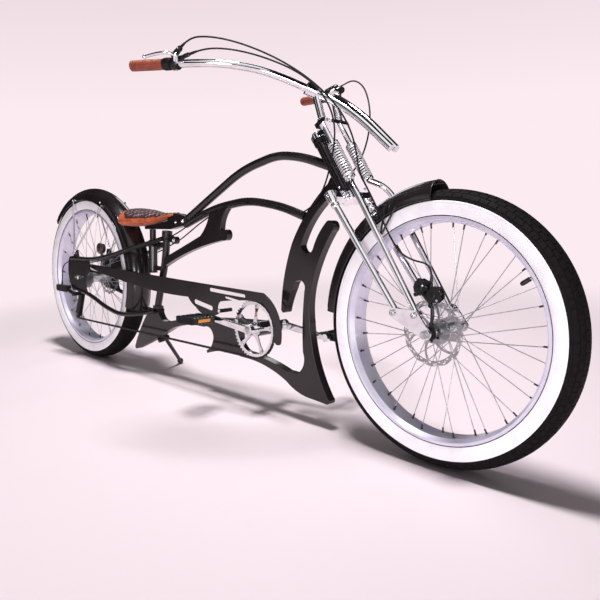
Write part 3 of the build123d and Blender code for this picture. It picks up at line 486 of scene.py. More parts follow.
wheelSize = {"rim": 0.302, "rimDepth": 0.016, "crown": 0.372, "half": 0.045, "carcass": 0.0018, "shoulder": 0.343,
             "wall": 0.45, "pinch": 0.006, "roundness": 2.6, "spokes": 36, "valve": 35}
treadSize = {"bricks": 88, "rows": 6, "gap": 0.13, "reach": 0.9, "outerBrick": 0.94, "flare": 0.02}
discSize = {"inner": 0.073, "outer": 0.088, "wave": 0.0012, "thick": 0.002, "cells": 144, "bands": 5, "arms": 6,
            "hub": (0.0135, 0.027), "hubCells": 36, "vents": {(1, 2), (1, 3), (3, 6), (3, 7), (2, 0)}}
turnedAcross = Matrix.Rotation(-math.pi / 2, 4, "X")  # a lathe's z laid across the bicycle


def tyreWidth(radius):  # half-width of the skin: a rounded crown over nearly straight sides
    height = (radius - wheelSize["rim"]) / (wheelSize["crown"] - wheelSize["rim"])
    wall = wheelSize["wall"]
    if height < wall:
        return wheelSize["half"] - wheelSize["pinch"] * ((wall - height) / wall) ** 2
    return wheelSize["half"] * math.sqrt(max(0.0, 1 - ((height - wall) / (1 - wall)) ** wheelSize["roundness"]))


# A place on the crown's section from one shoulder, -1, to the other, 1, as radius and offset.
def crownPoint(share):
    low, carcass = wheelSize["shoulder"], wheelSize["carcass"]
    radius = low + (wheelSize["crown"] - carcass - low) * math.cos(share * math.pi / 2) ** 0.85
    return radius, tyreWidth(radius + carcass) * (1 if share > 0 else -1) * min(1, abs(share) * 9)


def makeTyre(end, place):
    bm = bmesh.new()
    side = [(0.303, 0.039), (0.308, 0.0418), (0.317, 0.0437), (0.328, 0.0448), (0.339, 0.0446)]
    inner = [(0.366, 0.006), (0.35, 0.034), (0.333, 0.0405), (0.31, 0.0385), (0.303, 0.035)]
    loop = [(r, -w) for r, w in side] + [crownPoint(k / 9) for k in range(-9, 10)] + side[::-1]
    loop += inner[::-1] + [(r, -w) for r, w in inner]
    lathe(bm, loop, turnedAcross, steps=120, closed=True)
    count, rows, gap, reach, outerBrick, flare = treadSize.values()
    for row in range(rows):
        low, high = -reach + 2 * reach * row / rows, -reach + 2 * reach * (row + 1) / rows
        inset = (high - low) * gap / 2
        base = [crownPoint(share) for share in (low + inset, (low + high) / 2, high - inset)]
        raised = [(r + wheelSize["carcass"] * (outerBrick if abs(w) > 0.03 else 1),
                   w * (1 + flare * abs(w) / wheelSize["half"])) for r, w in base]
        for k in range(count):
            a0, a1 = (fullTurn * (k + (row % 2) / 2 + share) / count for share in (gap / 2, 1 - gap / 2))
            b, t = ([bm.verts.new(turnedAcross @ Vector((r * math.cos(a), r * math.sin(a), w)))
                     for a in (a0, a1) for r, w in spots] for spots in (base, raised))
            for i in (0, 1):
                addFaces(bm, ((t[i], t[i + 1], t[i + 4], t[i + 3]), (b[i], t[i], t[i + 1], b[i + 1]),
                              (b[i + 3], b[i + 4], t[i + 4], t[i + 3])))
            addFaces(bm, ((b[0], b[3], t[3], t[0]), (b[2], t[2], t[5], b[5])))
    finishPiece(bm, end + "TyreTread", end + "_wheel", [tread], place, (end + "_tyre",))


def makeWhitewalls(end, place):
    bm = bmesh.new()
    band = [(0.3045, 0.0405), (0.3085, 0.0432), (0.317, 0.0449), (0.325, 0.0459), (0.333, 0.0462), (0.3395, 0.0456),
            (0.3412, 0.0446), (0.3385, 0.0436), (0.317, 0.043), (0.3045, 0.0395)]
    line = [(0.3375, 0.0462), (0.3385, 0.0469), (0.3395, 0.0463), (0.3385, 0.0452)]  # raised at its edge
    for side in bothSides:
        for loop in (band, line):
            lathe(bm, [(r, side * w) for r, w in loop], turnedAcross, steps=128, closed=True)
    finishPiece(bm, end + "WhiteSides", end + "_wheel", [white], place, (end + "_whitewalls",))


def makeWheelTrim(end, place):  # spoke nipples, and the valve with its cap
    bm = bmesh.new()
    floor = wheelSize["rim"] - wheelSize["rimDepth"]
    for k in range(wheelSize["spokes"]):
        side = 1 if k % 2 else -1
        a = fullTurn * k / wheelSize["spokes"]
        lathe(bm, [(0.0038, -0.0005), (0.0038, 0.001), (0.0026, 0.0014), (0.0023, 0.014), (0.0014, 0.0148)],
              aim(atAngle(a, floor, side * 0.014), atAngle(a, -1, side * 0.07)), steps=8, look=1)
    valve = math.radians(wheelSize["valve"])
    spot, inward = atAngle(valve, floor), atAngle(valve, -1)
    lathe(bm, [(0.007, -0.0006), (0.007, 0.002), (0.0042, 0.0032), (0.0034, 0.016)], aim(spot, inward), steps=14)
    lathe(bm, [(0.0052, 0), (0.006, 0.002), (0.006, 0.006), (0.0053, 0.0072), (0.006, 0.009), (0.006, 0.023),
               (0.0044, 0.027)], aim(spot + inward * 0.014, inward), steps=18, look=1)
    finishPiece(bm, end + "WheelTrim", end + "_wheel", [steel, plastic], place)


def makeRotor(end, place, offset):  # a brake disc: a vented ring on curved arms
    bm = bmesh.new()
    low, cells, bands, arms = (discSize[key] for key in ("inner", "cells", "bands", "arms"))
    grid = {}
    for k in range(cells):
        a = fullTurn * k / cells
        for i in range(bands + 1):
            wave = discSize["wave"] * (math.cos(12 * a) - 1) if i == bands else 0
            grid[k, i] = bm.verts.new(atAngle(a, low + (discSize["outer"] - low) / bands * i + wave))
    for k in range(cells):
        j = (k + 1) % cells
        addFaces(bm, [(grid[k, i], grid[k, i + 1], grid[j, i + 1], grid[j, i]) for i in range(bands)
                      if (i, k % 8) not in discSize["vents"]])
    (hubIn, hubOut), count = discSize["hub"], discSize["hubCells"]
    for arm in range(arms):
        rows = []
        for t in range(7):
            r = hubOut - 0.001 + (low + 0.002 - hubOut) * t / 6
            a = fullTurn * arm / arms + 0.42 * (t / 6) ** 1.3
            half = (0.0052 - 0.0016 * math.sin(math.pi * t / 6)) / r
            rows.append([bm.verts.new(atAngle(a + s * half, r)) for s in (-1, 1)])
        addFaces(bm, [(one[0], one[1], two[1], two[0]) for one, two in zip(rows, rows[1:])])
    inner, outer = ([bm.verts.new(atAngle(fullTurn * k / count, r)) for k in range(count)] for r in (hubIn, hubOut))
    addFaces(bm, [(inner[k], outer[k], outer[k + 1 - count], inner[k + 1 - count]) for k in range(count)])
    bmesh.ops.solidify(bm, geom=bm.faces[:], thickness=discSize["thick"])
    outward = 1 if offset > 0 else -1
    for vert in bm.verts:
        vert.co.y += offset - outward * discSize["thick"] / 2
    for k in range(arms):
        spot = atAngle(fullTurn * (k + 0.5) / arms, 0.021, offset + outward * 0.001)
        bolt(bm, spot, (0, outward, 0), 0.0026, 0.0018, 1)
    finishPiece(bm, end + "BrakeDisc", end + "_wheel", [steel, parts], place, (end + "_rotor",))


for end, place, discOffset in (("front", frontWheel, -0.065), ("rear", rearWheel, 0.065)):
    makeTyre(end, place)
    makeWhitewalls(end, place)
    makeWheelTrim(end, place)
    makeRotor(end, place, discOffset)
print("wheels ready")


# drive: the chain's route, its links, toothed wheels and pedals

drive = {"bracket": (1.14, 0.287), "line": -0.06, "pitch": 0.0127, "ring": 48, "sprocket": 16, "pulley": 0.02,
         "guide": (-0.028, 0.294), "tension": (-0.062, 0.196), "plate": 0.0041, "waist": 0.0029,
         "crank": 0.17, "crankTilt": 8.8, "thick": 0.0026, "tip": 0.0032, "root": 0.004}
cassette = {"teeth": (24, 22, 20, 18, 16, 14, 12), "first": -0.04, "step": 0.005, "bore": 0.0185, "thick": 0.0019,
            "tip": 0.0026}
ringRadius = drive["pitch"] * drive["ring"] / fullTurn
sprocketRadius = drive["pitch"] * drive["sprocket"] / fullTurn
chainRoute = [(*drive["bracket"], ringRadius), (0, axleHeight, sprocketRadius),
              (*drive["guide"], -drive["pulley"]), (*drive["tension"], drive["pulley"])]


def chainLine():  # tangent runs and arcs round the toothed wheels, as close points in the side view
    runs = []
    for (x0, z0, r0), (x1, z1, r1) in zip(chainRoute, chainRoute[1:] + chainRoute[:1]):
        heading = math.atan2(z1 - z0, x1 - x0) - math.asin((r1 - r0) / math.hypot(x1 - x0, z1 - z0))
        nx, nz = -math.sin(heading), math.cos(heading)
        runs.append((Vector((x0 - r0 * nx, z0 - r0 * nz)), Vector((x1 - r1 * nx, z1 - r1 * nz)), heading))
    line = []
    for i, (start, end, heading) in enumerate(runs):
        line += [start, end]
        x, z, r = chainRoute[(i + 1) % len(chainRoute)]
        turn = runs[(i + 1) % len(runs)][2] - heading
        turn = turn % fullTurn if r > 0 else -((-turn) % fullTurn)
        pieces = max(4, int(abs(turn) / 0.06))
        for k in range(1, pieces):
            middle = heading + turn * k / pieces
            line.append(Vector((x + r * math.sin(middle), z - r * math.cos(middle))))
    return line


def pinSpots():  # evenly spaced chain pins: an even count nearest to the real pitch
    line = chainLine()
    loop = line + line[:1]
    lengths = [(b - a).length for a, b in zip(loop, loop[1:])]
    count = 2 * round(sum(lengths) / drive["pitch"] / 2)
    step = sum(lengths) / count
    spots, walked, i = [], 0.0, 0
    for k in range(count):
        while walked + lengths[i] < k * step:
            walked += lengths[i]
            i += 1
        spots.append(loop[i].lerp(loop[i + 1], (k * step - walked) / lengths[i]))
    return spots


pins = pinSpots()


def makeChain():
    bm = bmesh.new()
    plate = drive["plate"]
    for k, (one, two) in enumerate(zip(pins, pins[1:] + pins[:1])):
        middle, way = (one + two) / 2, two - one
        place = basis(Vector((way.x, 0, way.y)).normalized(), Vector((-way.y, 0, way.x)).normalized(),
                      Vector((0, -1, 0)), Vector((middle.x, drive["line"], middle.y)))
        loop = []
        for side in bothSides:
            for a in map(math.radians, (-100, -50, 0, 50, 100)):
                loop.append((side * (way.length / 2 + plate * math.cos(a)), side * plate * math.sin(a)))
            loop.append((0, side * drive["waist"]))
        inner, outer = (0.0014, 0.0022) if k % 2 else (0.0024, 0.0032)
        prism(bm, loop, inner, outer, place)
        prism(bm, loop, -outer, -inner, place)
        pin = aim((one.x, drive["line"], one.y), (0, 1, 0))
        lathe(bm, [(0.0037, -0.0018), (0.0037, 0.0018)], pin, steps=10)
        lathe(bm, [(0.0016, -0.0034), (0.0018, -0.003), (0.0018, 0.003), (0.0016, 0.0034)], pin, steps=8)
    finishPiece(bm, "chainLinks", "frame", [parts], bike, ("chain",))


def phaseOn(centre, radius):  # the angle of a chain pin that lies in this wheel's teeth
    for pin in pins:
        reach = Vector((pin.x - centre[0], pin.y - centre[1]))
        if abs(reach.length - radius) < 0.0004:
            return math.atan2(reach.y, reach.x)


def toothedPlate(bm, teeth, y, thick, bore, phase, tip):  # a bored disc, toothed with a pocket at the phase
    radius, root = drive["pitch"] * teeth / fullTurn, drive["root"]
    marks = ((0.0, -root), (0.17, -root * 0.78), (0.36, tip * 0.4), (0.46, tip), (0.54, tip), (0.64, tip * 0.4),
             (0.83, -root * 0.78))
    loop = [(radius + lift, phase + fullTurn * (k + share) / teeth) for k in range(teeth) for share, lift in marks]
    near, far, nearBore, farBore = ([bm.verts.new(atAngle(a, inner or r, edge)) for r, a in loop]
                                    for inner in (0, bore) for edge in (y - thick / 2, y + thick / 2))
    for i in range(len(loop)):
        j = i + 1 - len(loop)
        addFaces(bm, ((near[i], near[j], far[j], far[i]), (nearBore[j], nearBore[i], farBore[i], farBore[j]),
                      (near[j], near[i], nearBore[i], nearBore[j]), (far[i], far[j], farBore[j], farBore[i])))


def makeChainring():
    bm = bmesh.new()
    phase = phaseOn(drive["bracket"], ringRadius)
    toothedPlate(bm, drive["ring"], 0, drive["thick"], ringRadius - 0.014, phase, drive["tip"])
    reach = ringRadius - 0.0115
    arm = [(0.016, 0.0105), (0.04, 0.0062), (0.062, 0.0055), (reach - 0.01, 0.0085), (reach, 0.0065)]
    for k in range(5):
        a = math.radians(72 * k + drive["crankTilt"])
        out, side = atAngle(a, 1), Vector((-math.sin(a), 0, math.cos(a)))
        prism(bm, arm + [(x, -w) for x, w in arm[::-1]], -0.0018, 0.0018,
              basis(out, side, Vector((0, 1, 0)), Vector((0, 0.0015, 0))))
        lathe(bm, [(0.0068, -0.0034), (0.0068, 0.0034)], aim(out * (reach - 0.004), (0, 1, 0)), steps=18)
        bolt(bm, out * (reach - 0.004) + Vector((0, -0.0034, 0)), (0, -1, 0), 0.0038, 0.002, 1)
    hub = [(0.0095, -0.0034), (0.024, -0.0034), (0.024, 0.0034), (0.0095, 0.0034)]
    lathe(bm, hub, turnedAcross, steps=40, closed=True)
    place = bike @ Matrix.Translation((drive["bracket"][0], drive["line"], drive["bracket"][1]))
    finishPiece(bm, "toothedRing", "crankset", [chrome, steel], place, ("chainring",))


def makeCassette():
    bm = bmesh.new()
    phase = phaseOn((0, axleHeight), sprocketRadius)
    for k, teeth in enumerate(cassette["teeth"]):
        toothedPlate(bm, teeth, cassette["first"] - k * cassette["step"], cassette["thick"], cassette["bore"],
                     phase if teeth == drive["sprocket"] else 0.1 * teeth, cassette["tip"])
    lathe(bm, [(0.0135, 0.0385), (0.019, 0.0385), (0.019, 0.0715), (0.0165, 0.0728), (0.0135, 0.0728)],
          turnedAcross @ Matrix.Scale(-1, 4, (0, 0, 1)), steps=36, closed=True)
    finishPiece(bm, "sprocketStack", "freewheel", [steel], rearWheel, ("cassette",))


def makePulleys():
    bm = bmesh.new()
    tooth = ((0.0, 0.0158), (0.2, 0.016), (0.42, 0.0188), (0.58, 0.0188), (0.8, 0.016))
    loop = [(r * math.cos(fullTurn * (k + share) / 10), r * math.sin(fullTurn * (k + share) / 10))
            for k in range(10) for share, r in tooth]
    for x, z in (drive["guide"], drive["tension"]):
        prism(bm, loop, -0.0012, 0.0012, Matrix.Translation((x, drive["line"], z)) @ turnedAcross)
        for side, y in ((-1, -0.0695), (1, -0.0505)):
            bolt(bm, (x, y, z), (0, side, 0), 0.0038, 0.0022, 1)
    finishPiece(bm, "idlerTeeth", "frame", [plastic, steel], bike)


def crankEnd(side, y):  # where a crank holds its pedal
    angle = math.radians(180 - drive["crankTilt"] if side < 0 else -drive["crankTilt"])
    x, z = drive["bracket"]
    return Vector((x + drive["crank"] * math.cos(angle), side * y, z + drive["crank"] * math.sin(angle)))


pedalSize = {"inner": 0.129, "width": 0.092, "length": 0.096, "thick": 0.024}


# A caged platform: four bars with studs, two ribbed sides, the axle's barrel and reflectors in its ends.
def makePedal(side, name, body):
    bm = bmesh.new()
    inner, width, length, thick = pedalSize.values()
    middle = crankEnd(side, inner + width / 2)

    def at(x, y, z):
        return Matrix.Translation(middle + Vector((x, y, z)))
    lathe(bm, [(0.0055, -width / 2 + 0.002), (0.0105, -width / 2 + 0.002), (0.0105, -0.02), (0.009, 0),
               (0.0105, 0.02), (0.0105, width / 2 - 0.006), (0.008, width / 2 - 0.002), (0.0055, width / 2 - 0.002)],
          aim(middle, (0, 1, 0)), steps=24, closed=True)
    rail = [(-0.048, -0.009), (-0.04, -0.012), (0.04, -0.012), (0.048, -0.009)]
    rail += [(-x, -y) for x, y in rail]
    for s in (-1, 1):
        for part in range(5):  # the long ribbed bars, front and back
            y = -width / 2 + 0.009 + part * (width - 0.018) / 4
            cuboid(bm, (0.01, 0.014, thick * 0.86), at(s * (length / 2 - 0.006), y, 0), 0.9)
        cuboid(bm, (0.007, width - 0.004, thick * 0.62), at(s * (length / 2 - 0.0065), 0, 0), 0.94)
        for edge in (-1, 1):
            prism(bm, rail, -0.0035, 0.0035, at(0, edge * (width / 2 - 0.0037), 0) @ turnedAcross, 0.97)
        for x in (0.018, 0.036):
            cuboid(bm, (0.004, width - 0.01, 0.012), at(s * x, 0, 0), 0.9)
        for row in range(6):  # studs
            y = -width / 2 + 0.01 + row * (width - 0.02) / 5
            for z in (-1, 1):
                spot = middle + Vector((s * (length / 2 - 0.006), y, z * thick * 0.4))
                lathe(bm, [(0.0018, 0), (0.0018, 0.0018), (0.0011, 0.0026)], aim(spot, (0, 0, z)), steps=8, look=1)
        cuboid(bm, (0.0016, 0.05, 0.011), at(s * length / 2, 0, 0), 0.96, look=2)
    finishPiece(bm, name, body, [plastic, steel, amberLens], bike,
                ("pedal_right" if side < 0 else "pedal_left",), bevel=0.0007)


def makeCrankTrim():
    bm = bmesh.new()
    bx, bz = drive["bracket"]
    for side in (-1, 1):
        lathe(bm, [(0.0125, 0), (0.0125, 0.0015), (0.0105, 0.0028), (0.0062, 0.0028), (0.0055, 0.0012)],
              aim((bx, side * 0.0898, bz), (0, side, 0)), steps=28)
        lathe(bm, [(0.0085, -0.0007), (0.0085, 0.0042), (0.007, 0.005)], aim(crankEnd(side, 0.1205), (0, side, 0)),
              steps=20)
        hexNut(bm, crankEnd(side, 0.1205 + 0.0038), (0, side, 0), 0.0075, 0.004)
    finishPiece(bm, "crankTrim", "crankset", [steel], bike)


makeChain()
makeChainring()
makeCassette()
makePulleys()
makePedal(-1, "pedalCageRight", "right_pedal")
makePedal(1, "pedalCageLeft", "left_pedal")
makeCrankTrim()
print("drive ready")


# fork: coils, rods and bolts

coil = {"u": 0.062, "y": 0.042, "low": 0.0063, "high": 0.1177, "radius": 0.0154, "wire": 0.0026, "turns": 14,
        "perTurn": 22, "flat": 0.8, "rod": 0.0085}
bridgeTop = 0.194  # above the steering joint, along the steerer


def overCoil(side, height=0):  # on a spring's middle line, in the fork's own frame
    return Matrix.Translation((coil["u"], side * coil["y"], height))


def makeCoils():
    bm = bmesh.new()
    low, high, radius, wire, turns, flat = (coil[key] for key in ("low", "high", "radius", "wire", "turns", "flat"))
    for side in bothSides:
        points = []
        for k in range(coil["perTurn"] * turns + 1):
            turn = k / coil["perTurn"]
            climb = min(max((turn - flat) / (turns - 2 * flat), 0), 1)  # closed and flat at both ends
            a = fullTurn * turn
            points.append((coil["u"] + radius * math.cos(a), side * coil["y"] + side * radius * math.sin(a),
                           low + wire + (high - low - 2 * wire) * climb))
        sweep(bm, points, wire, sides=8)
        lathe(bm, [(coil["rod"], low), (coil["rod"], high)], overCoil(side), steps=20, look=1)
    finishPiece(bm, "coilPair", "fork", [coilMetal, parts], fork, ("coil_springs",))


def makeForkTrim():  # bolts, cap nuts and collars on the fork
    bm = bmesh.new()
    lathe(bm, [(0.021, 0.007), (0.021, 0.01), (0.017, 0.012), (0.0165, 0.017), (0.012, 0.0205), (0.006, 0.0218)],
          Matrix.Translation((0, 0, bridgeTop)), steps=30)
    for side in bothSides:
        lathe(bm, [(0.0125, 0), (0.0125, 0.002), (0.0105, 0.003), (0.0105, 0.01), (0.007, 0.0135), (0.003, 0.0145)],
              overCoil(side, bridgeTop + 0.007), steps=18)  # domed nut over each spring
        lathe(bm, [(0.0162, 0.1145), (0.0168, 0.1165), (0.0168, 0.1235), (0.015, 0.1255)], overCoil(side), steps=28)
        lathe(bm, [(0.0162, -0.003), (0.017, -0.001), (0.017, 0.004), (0.0158, 0.0055)], overCoil(side), steps=28)
        for v in (-0.0425, -0.0085):
            bolt(bm, (0.026, side * 0.06, v), (1, 0, 0), 0.0036, 0.003)
        bolt(bm, (0.002, side * 0.0995, -0.022), (0, side, 0), 0.0045, 0.0035)
        lathe(bm, [(0.012, -0.062), (0.0128, -0.06), (0.0128, -0.05), (0.0118, -0.048)],
              aim((0.0, side * 0.084, 0), (-0.062, 0, 1)), steps=24)
    finishPiece(bm, "forkTrim", "fork", [chrome], fork)
    bm = bmesh.new()
    for side in bothSides:
        for x, z in ((1.7229, 0.4171), (1.7889, 0.4172)):
            bolt(bm, (x, side * 0.1049, z), (0, side, 0), 0.0062, 0.0045)
        hexNut(bm, (frontX, side * 0.1073, axleHeight), (0, side, 0), 0.0085, 0.003)
    finishPiece(bm, "rockerBolts", "fork", [steel], bike)


makeCoils()
makeForkTrim()
print("fork ready")


# bars: grips, levers and their mounts

barRoute = [(0.932, -0.381, 1.107), (1.106, -0.33, 1.099)]  # the right grip's run
gripSize = {"start": 0.004, "length": 0.118, "radius": 0.0152, "ribs": 14, "stitches": 26, "thread": 0.0005}


def barPoint(side, along):  # a place on the grip's run of the bar, and the run's direction
    a, b = (Vector((x, -side * y, z)) for x, y, z in barRoute)
    way = (b - a).normalized()
    return a + way * along, way


def makeGrips():
    bm = bmesh.new()
    length, radius, ribs, stitches = (gripSize[key] for key in ("length", "radius", "ribs", "stitches"))
    for side in bothSides:
        profile = [(0.004, -0.003), (0.0125, -0.003), (0.016, -0.0015), (0.0163, 0.003), (0.015, 0.005)]
        for k in range(ribs):
            base = 0.007 + k * (length - 0.016) / ribs
            swell = radius + 0.0006 * math.sin(math.pi * k / ribs)
            profile += [(swell - 0.0004, base), (swell + 0.0005, base + 0.0022), (swell + 0.0005, base + 0.005)]
        profile += [(0.015, length - 0.006), (0.0162, length - 0.004), (0.016, length), (0.0112, length)]
        place = aim(*barPoint(side, gripSize["start"]))
        lathe(bm, profile, place, steps=40)
        for k in range(stitches):  # the stitched seam along the underside
            z = 0.01 + k * (length - 0.022) / (stitches - 1)
            one = place @ Vector((-0.0022, -radius - 0.0004, z))
            two = place @ Vector((0.0022, -radius - 0.0004, z + 0.0022))
            middle = (one + two) / 2 + place.to_3x3() @ Vector((0, -0.0005, 0))
            sweep(bm, [one, middle, two], gripSize["thread"], sides=5, look=1)
    finishPiece(bm, "leatherGrips", "fork", [gripHide, thread], bike, ("grips",))


controls = {  # from, to and turned profile of the master cylinder and of the line's stop
    "reservoir": ((1.084, 0.339, 1.12), (1.134, 0.346, 1.138),
                  [(0.004, -0.001), (0.0078, 0.001), (0.0088, 0.004), (0.0088, 0.029), (0.0076, 0.032),
                   (0.0082, 0.034), (0.0082, 0.045), (0.0062, 0.049), (0.004, 0.0535)]),
    "lineStop": ((1.096, 0.333, 1.112), (1.15, 0.322, 1.122),
                 [(0.004, 0.0), (0.0063, 0.002), (0.0063, 0.018), (0.005, 0.02), (0.005, 0.026), (0.0063, 0.028),
                  (0.0063, 0.044), (0.0046, 0.048), (0.0036, 0.056)]),
}
shifterRibs = 20


def makeControls():  # ribbed twist shifters, lever clamps with bolts and the reservoirs of the brakes
    bm = bmesh.new()
    for side in bothSides:
        place = aim(*barPoint(side, gripSize["length"] + 0.007))
        lathe(bm, [(0.0112, 0), (0.0168, 0), (0.0172, 0.002), (0.0172, 0.024), (0.0168, 0.026), (0.0112, 0.026)],
              place, steps=36, closed=True)
        for k in range(shifterRibs):
            turned = place @ Matrix.Rotation(fullTurn * k / shifterRibs, 4, "Z")
            cuboid(bm, (0.0016, 0.0026, 0.019), turned @ Matrix.Translation((0.0173, 0, 0.013)), 0.8)
        spot, way = barPoint(side, gripSize["length"] + 0.037)
        place = aim(spot, way)
        lathe(bm, [(0.0112, 0), (0.0172, 0), (0.0182, 0.002), (0.0182, 0.02), (0.0172, 0.022), (0.0112, 0.022)],
              place, steps=36, closed=True)
        for z in (0.006, 0.016):
            bolt(bm, place @ Vector((0, -0.0178, z)), place.to_3x3() @ Vector((0, -1, 0)), 0.0028, 0.0022, 1)
        base = spot + way * 0.011
        for name, (*ends, profile) in controls.items():
            one, two = (Vector((x, side * y, z)) for x, y, z in ends)
            lathe(bm, profile, aim(one, two - one), steps=24)
            middle = (one + two) / 2
            sweep(bm, [base + (middle - base).normalized() * 0.012, base.lerp(middle, 0.55), middle], 0.0058, sides=12)
        one, two = (Vector((x, side * y, z)) for x, y, z in controls["reservoir"][:2])
        across = (two - one).cross(Vector((0, 0, 1))).normalized()
        for share in (0.3, 0.85):
            bolt(bm, one.lerp(two, share) + across * 0.0078, across, 0.0022, 0.0018, 1)
    finishPiece(bm, "barControls", "fork", [parts, steel], bike, ("control_clamps",))


makeGrips()
makeControls()
print("bars ready")


# saddle: a hide-covered pad with a quilted top, over the rear fender

guardSize = {"ring": 0.346, "half": 0.0525, "thick": 0.002, "bead": 0.0024, "crease": 38,
             "rear": (-17, 137.5), "front": (95.5, 178)}
saddle = {"rear": 0.3, "nose": 0.64, "rings": 96, "round": 84, "square": 0.85, "dome": 0.95, "belly": 0.6,
          "rim": 0.3, "clear": 0.0022, "edge": 0.12, "band": 1.2, "quilt": 0.024, "slant": 1.15, "puff": 0.0042,
          "tail": 0.402, "sweep": 0.068, "noseRings": 5}
saddleHalf = [(0.3, 0.04), (0.312, 0.064), (0.34, 0.085), (0.378, 0.094), (0.43, 0.085), (0.48, 0.06),
              (0.535, 0.04), (0.59, 0.029), (0.618, 0.025), (0.63, 0.013)]
saddleTop = [(0.3, 0.664), (0.33, 0.68), (0.372, 0.686), (0.43, 0.683), (0.49, 0.675), (0.55, 0.669),
             (0.6, 0.669), (0.63, 0.671)]
saddleLow = [(0.3, 0.638), (0.318, 0.618), (0.35, 0.609), (0.42, 0.612), (0.49, 0.622), (0.54, 0.636),
             (0.6, 0.652), (0.63, 0.658)]
threadSize = {"radius": 0.0013, "step": 0.0038, "reach": 24, "rows": 24, "from": 0.312, "to": 0.6}


def lineAt(table, x):  # smooth value from a short table of places and values
    for (x0, v0), (x1, v1) in zip(table, table[1:]):
        if x <= x1:
            t = min(max((x - x0) / (x1 - x0), 0), 1)
            return v0 + (v1 - v0) * t * t * (3 - 2 * t)
    return table[-1][1]


def saddleSection(x):  # half-width, top and low edge there
    return [lineAt(table, x) for table in (saddleHalf, saddleTop, saddleLow)]


def guardTop(x, y):  # height of the rear fender's outside under the saddle
    half = guardSize["half"]
    ring = guardSize["ring"] + math.sqrt(max(half ** 2 - y * y, 0))
    return axleHeight + math.sqrt(max(ring * ring - x * x, 0)) if abs(y) < half else 0


def quiltEdge(x):  # how high up the dome the quilt starts: the plain band widens over the tail
    return saddle["edge"] + saddle["band"] * max(0, (saddle["tail"] - x) / saddle["sweep"])


def makeSaddle():  # a domed quilted top that falls to a plain band round its edge
    bm = bmesh.new()
    rings, count = saddle["rings"], saddle["round"]
    skin = []
    for i in range(rings + 1):
        x = saddle["rear"] + (saddle["nose"] - saddle["rear"]) * (0.5 - 0.5 * math.cos(math.pi * i / rings))
        half, top, low = saddleSection(x)
        rim = low + (top - low) * saddle["rim"]  # the widest line, low on the side
        ring = []
        for k in range(count):
            a = fullTurn * k / count
            c, s = math.cos(a), math.sin(a)
            y = half * math.copysign(abs(c) ** saddle["square"], c)
            up, down = (top - rim) * abs(s) ** saddle["dome"], (rim - low) * abs(s) ** saddle["belly"]
            z = max(rim + up if s > 0 else rim - down, guardTop(x, y) + saddle["clear"])
            if s > quiltEdge(x):
                u, v = ((x + slant * saddle["slant"] * y) / saddle["quilt"] for slant in bothSides)
                pillow = abs(math.sin(math.pi * u) * math.sin(math.pi * v))
                z += saddle["puff"] * (pillow ** 0.5 - 1) * min(1, (s - quiltEdge(x)) / 0.2)
            ring.append(bm.verts.new((x, y, z)))
        skin.append(ring)
    for i in range(rings):
        edge = quiltEdge(skin[i][0].co.x)
        for k in range(count):
            j = (k + 1) % count
            face = bm.faces.new((skin[i][k], skin[i][j], skin[i + 1][j], skin[i + 1][k]))
            quilted = math.sin(fullTurn * (k + 0.5) / count) > edge and i < rings - saddle["noseRings"]
            face.material_index = 1 if quilted else 0
    for i in (0, rings):
        bm.faces.new(skin[i])
    piece = finishPiece(bm, "quiltedSaddle", "frame", [saddleHide, quiltHide], bike,
                        ("saddle_shell",), subdivide=1)


def domeShare(x, y):  # how far up from the widest line to the top
    c = min(abs(y) / lineAt(saddleHalf, x), 1) ** (1 / saddle["square"])
    return math.sqrt(max(1 - c * c, 0))


def seamHeight(x, y):
    half, top, low = saddleSection(x)
    rim = low + (top - low) * saddle["rim"]
    return rim + (top - rim) * domeShare(x, y) ** saddle["dome"] - saddle["puff"]


def makeSaddleStitches():  # crossing rows of thread in the seams between the diamonds
    bm = bmesh.new()
    first = int(saddle["rear"] / saddle["quilt"]) - 4
    reach = threadSize["reach"]
    for slant in bothSides:
        for n in range(first, first + threadSize["rows"]):
            run = []
            for k in range(-reach, reach + 1):
                y = threadSize["step"] * k
                x = n * saddle["quilt"] - slant * saddle["slant"] * y
                inside = threadSize["from"] < x < threadSize["to"]
                inside = inside and domeShare(x, y) > max(quiltEdge(x) + 0.03, 0.4)
                if inside:
                    run.append((x, y, seamHeight(x, y) + 0.0008))
                if (not inside or k == reach) and run:
                    if len(run) > 2:
                        sweep(bm, run, threadSize["radius"], sides=5)
                    run = []
    finishPiece(bm, "quiltStitches", "frame", [quiltThread], bike)


def makeSaddleTrim():  # the welt round the seat's edge and the bolts of its nose plate
    bm = bmesh.new()
    for side in bothSides:
        line = []
        for i in range(61):
            x = 0.308 + (0.624 - 0.308) * i / 60
            half, top, low = saddleSection(x)
            line.append((x, side * (half * 0.995), low + (top - low) * 0.38))
        sweep(bm, line, 0.0019, sides=8)
    finishPiece(bm, "saddleWelt", "frame", [saddleHide], bike)
    bm = bmesh.new()
    for side in bothSides:
        bolt(bm, (0.69, side * 0.0208, 0.638), (0, side, 0), 0.0072, 0.005)
        bolt(bm, (0.64, side * 0.0168, 0.632), (0, side, 0), 0.0045, 0.0032)
    bolt(bm, (0.462, 0, 0.5995), (0, 0, 1), 0.004, 0.003)
    finishPiece(bm, "saddleBolts", "frame", [chrome], bike)


makeSaddle()
makeSaddleStitches()
makeSaddleTrim()
print("saddle ready")


# brake hoses and the shift cable, along the routes that their solids follow

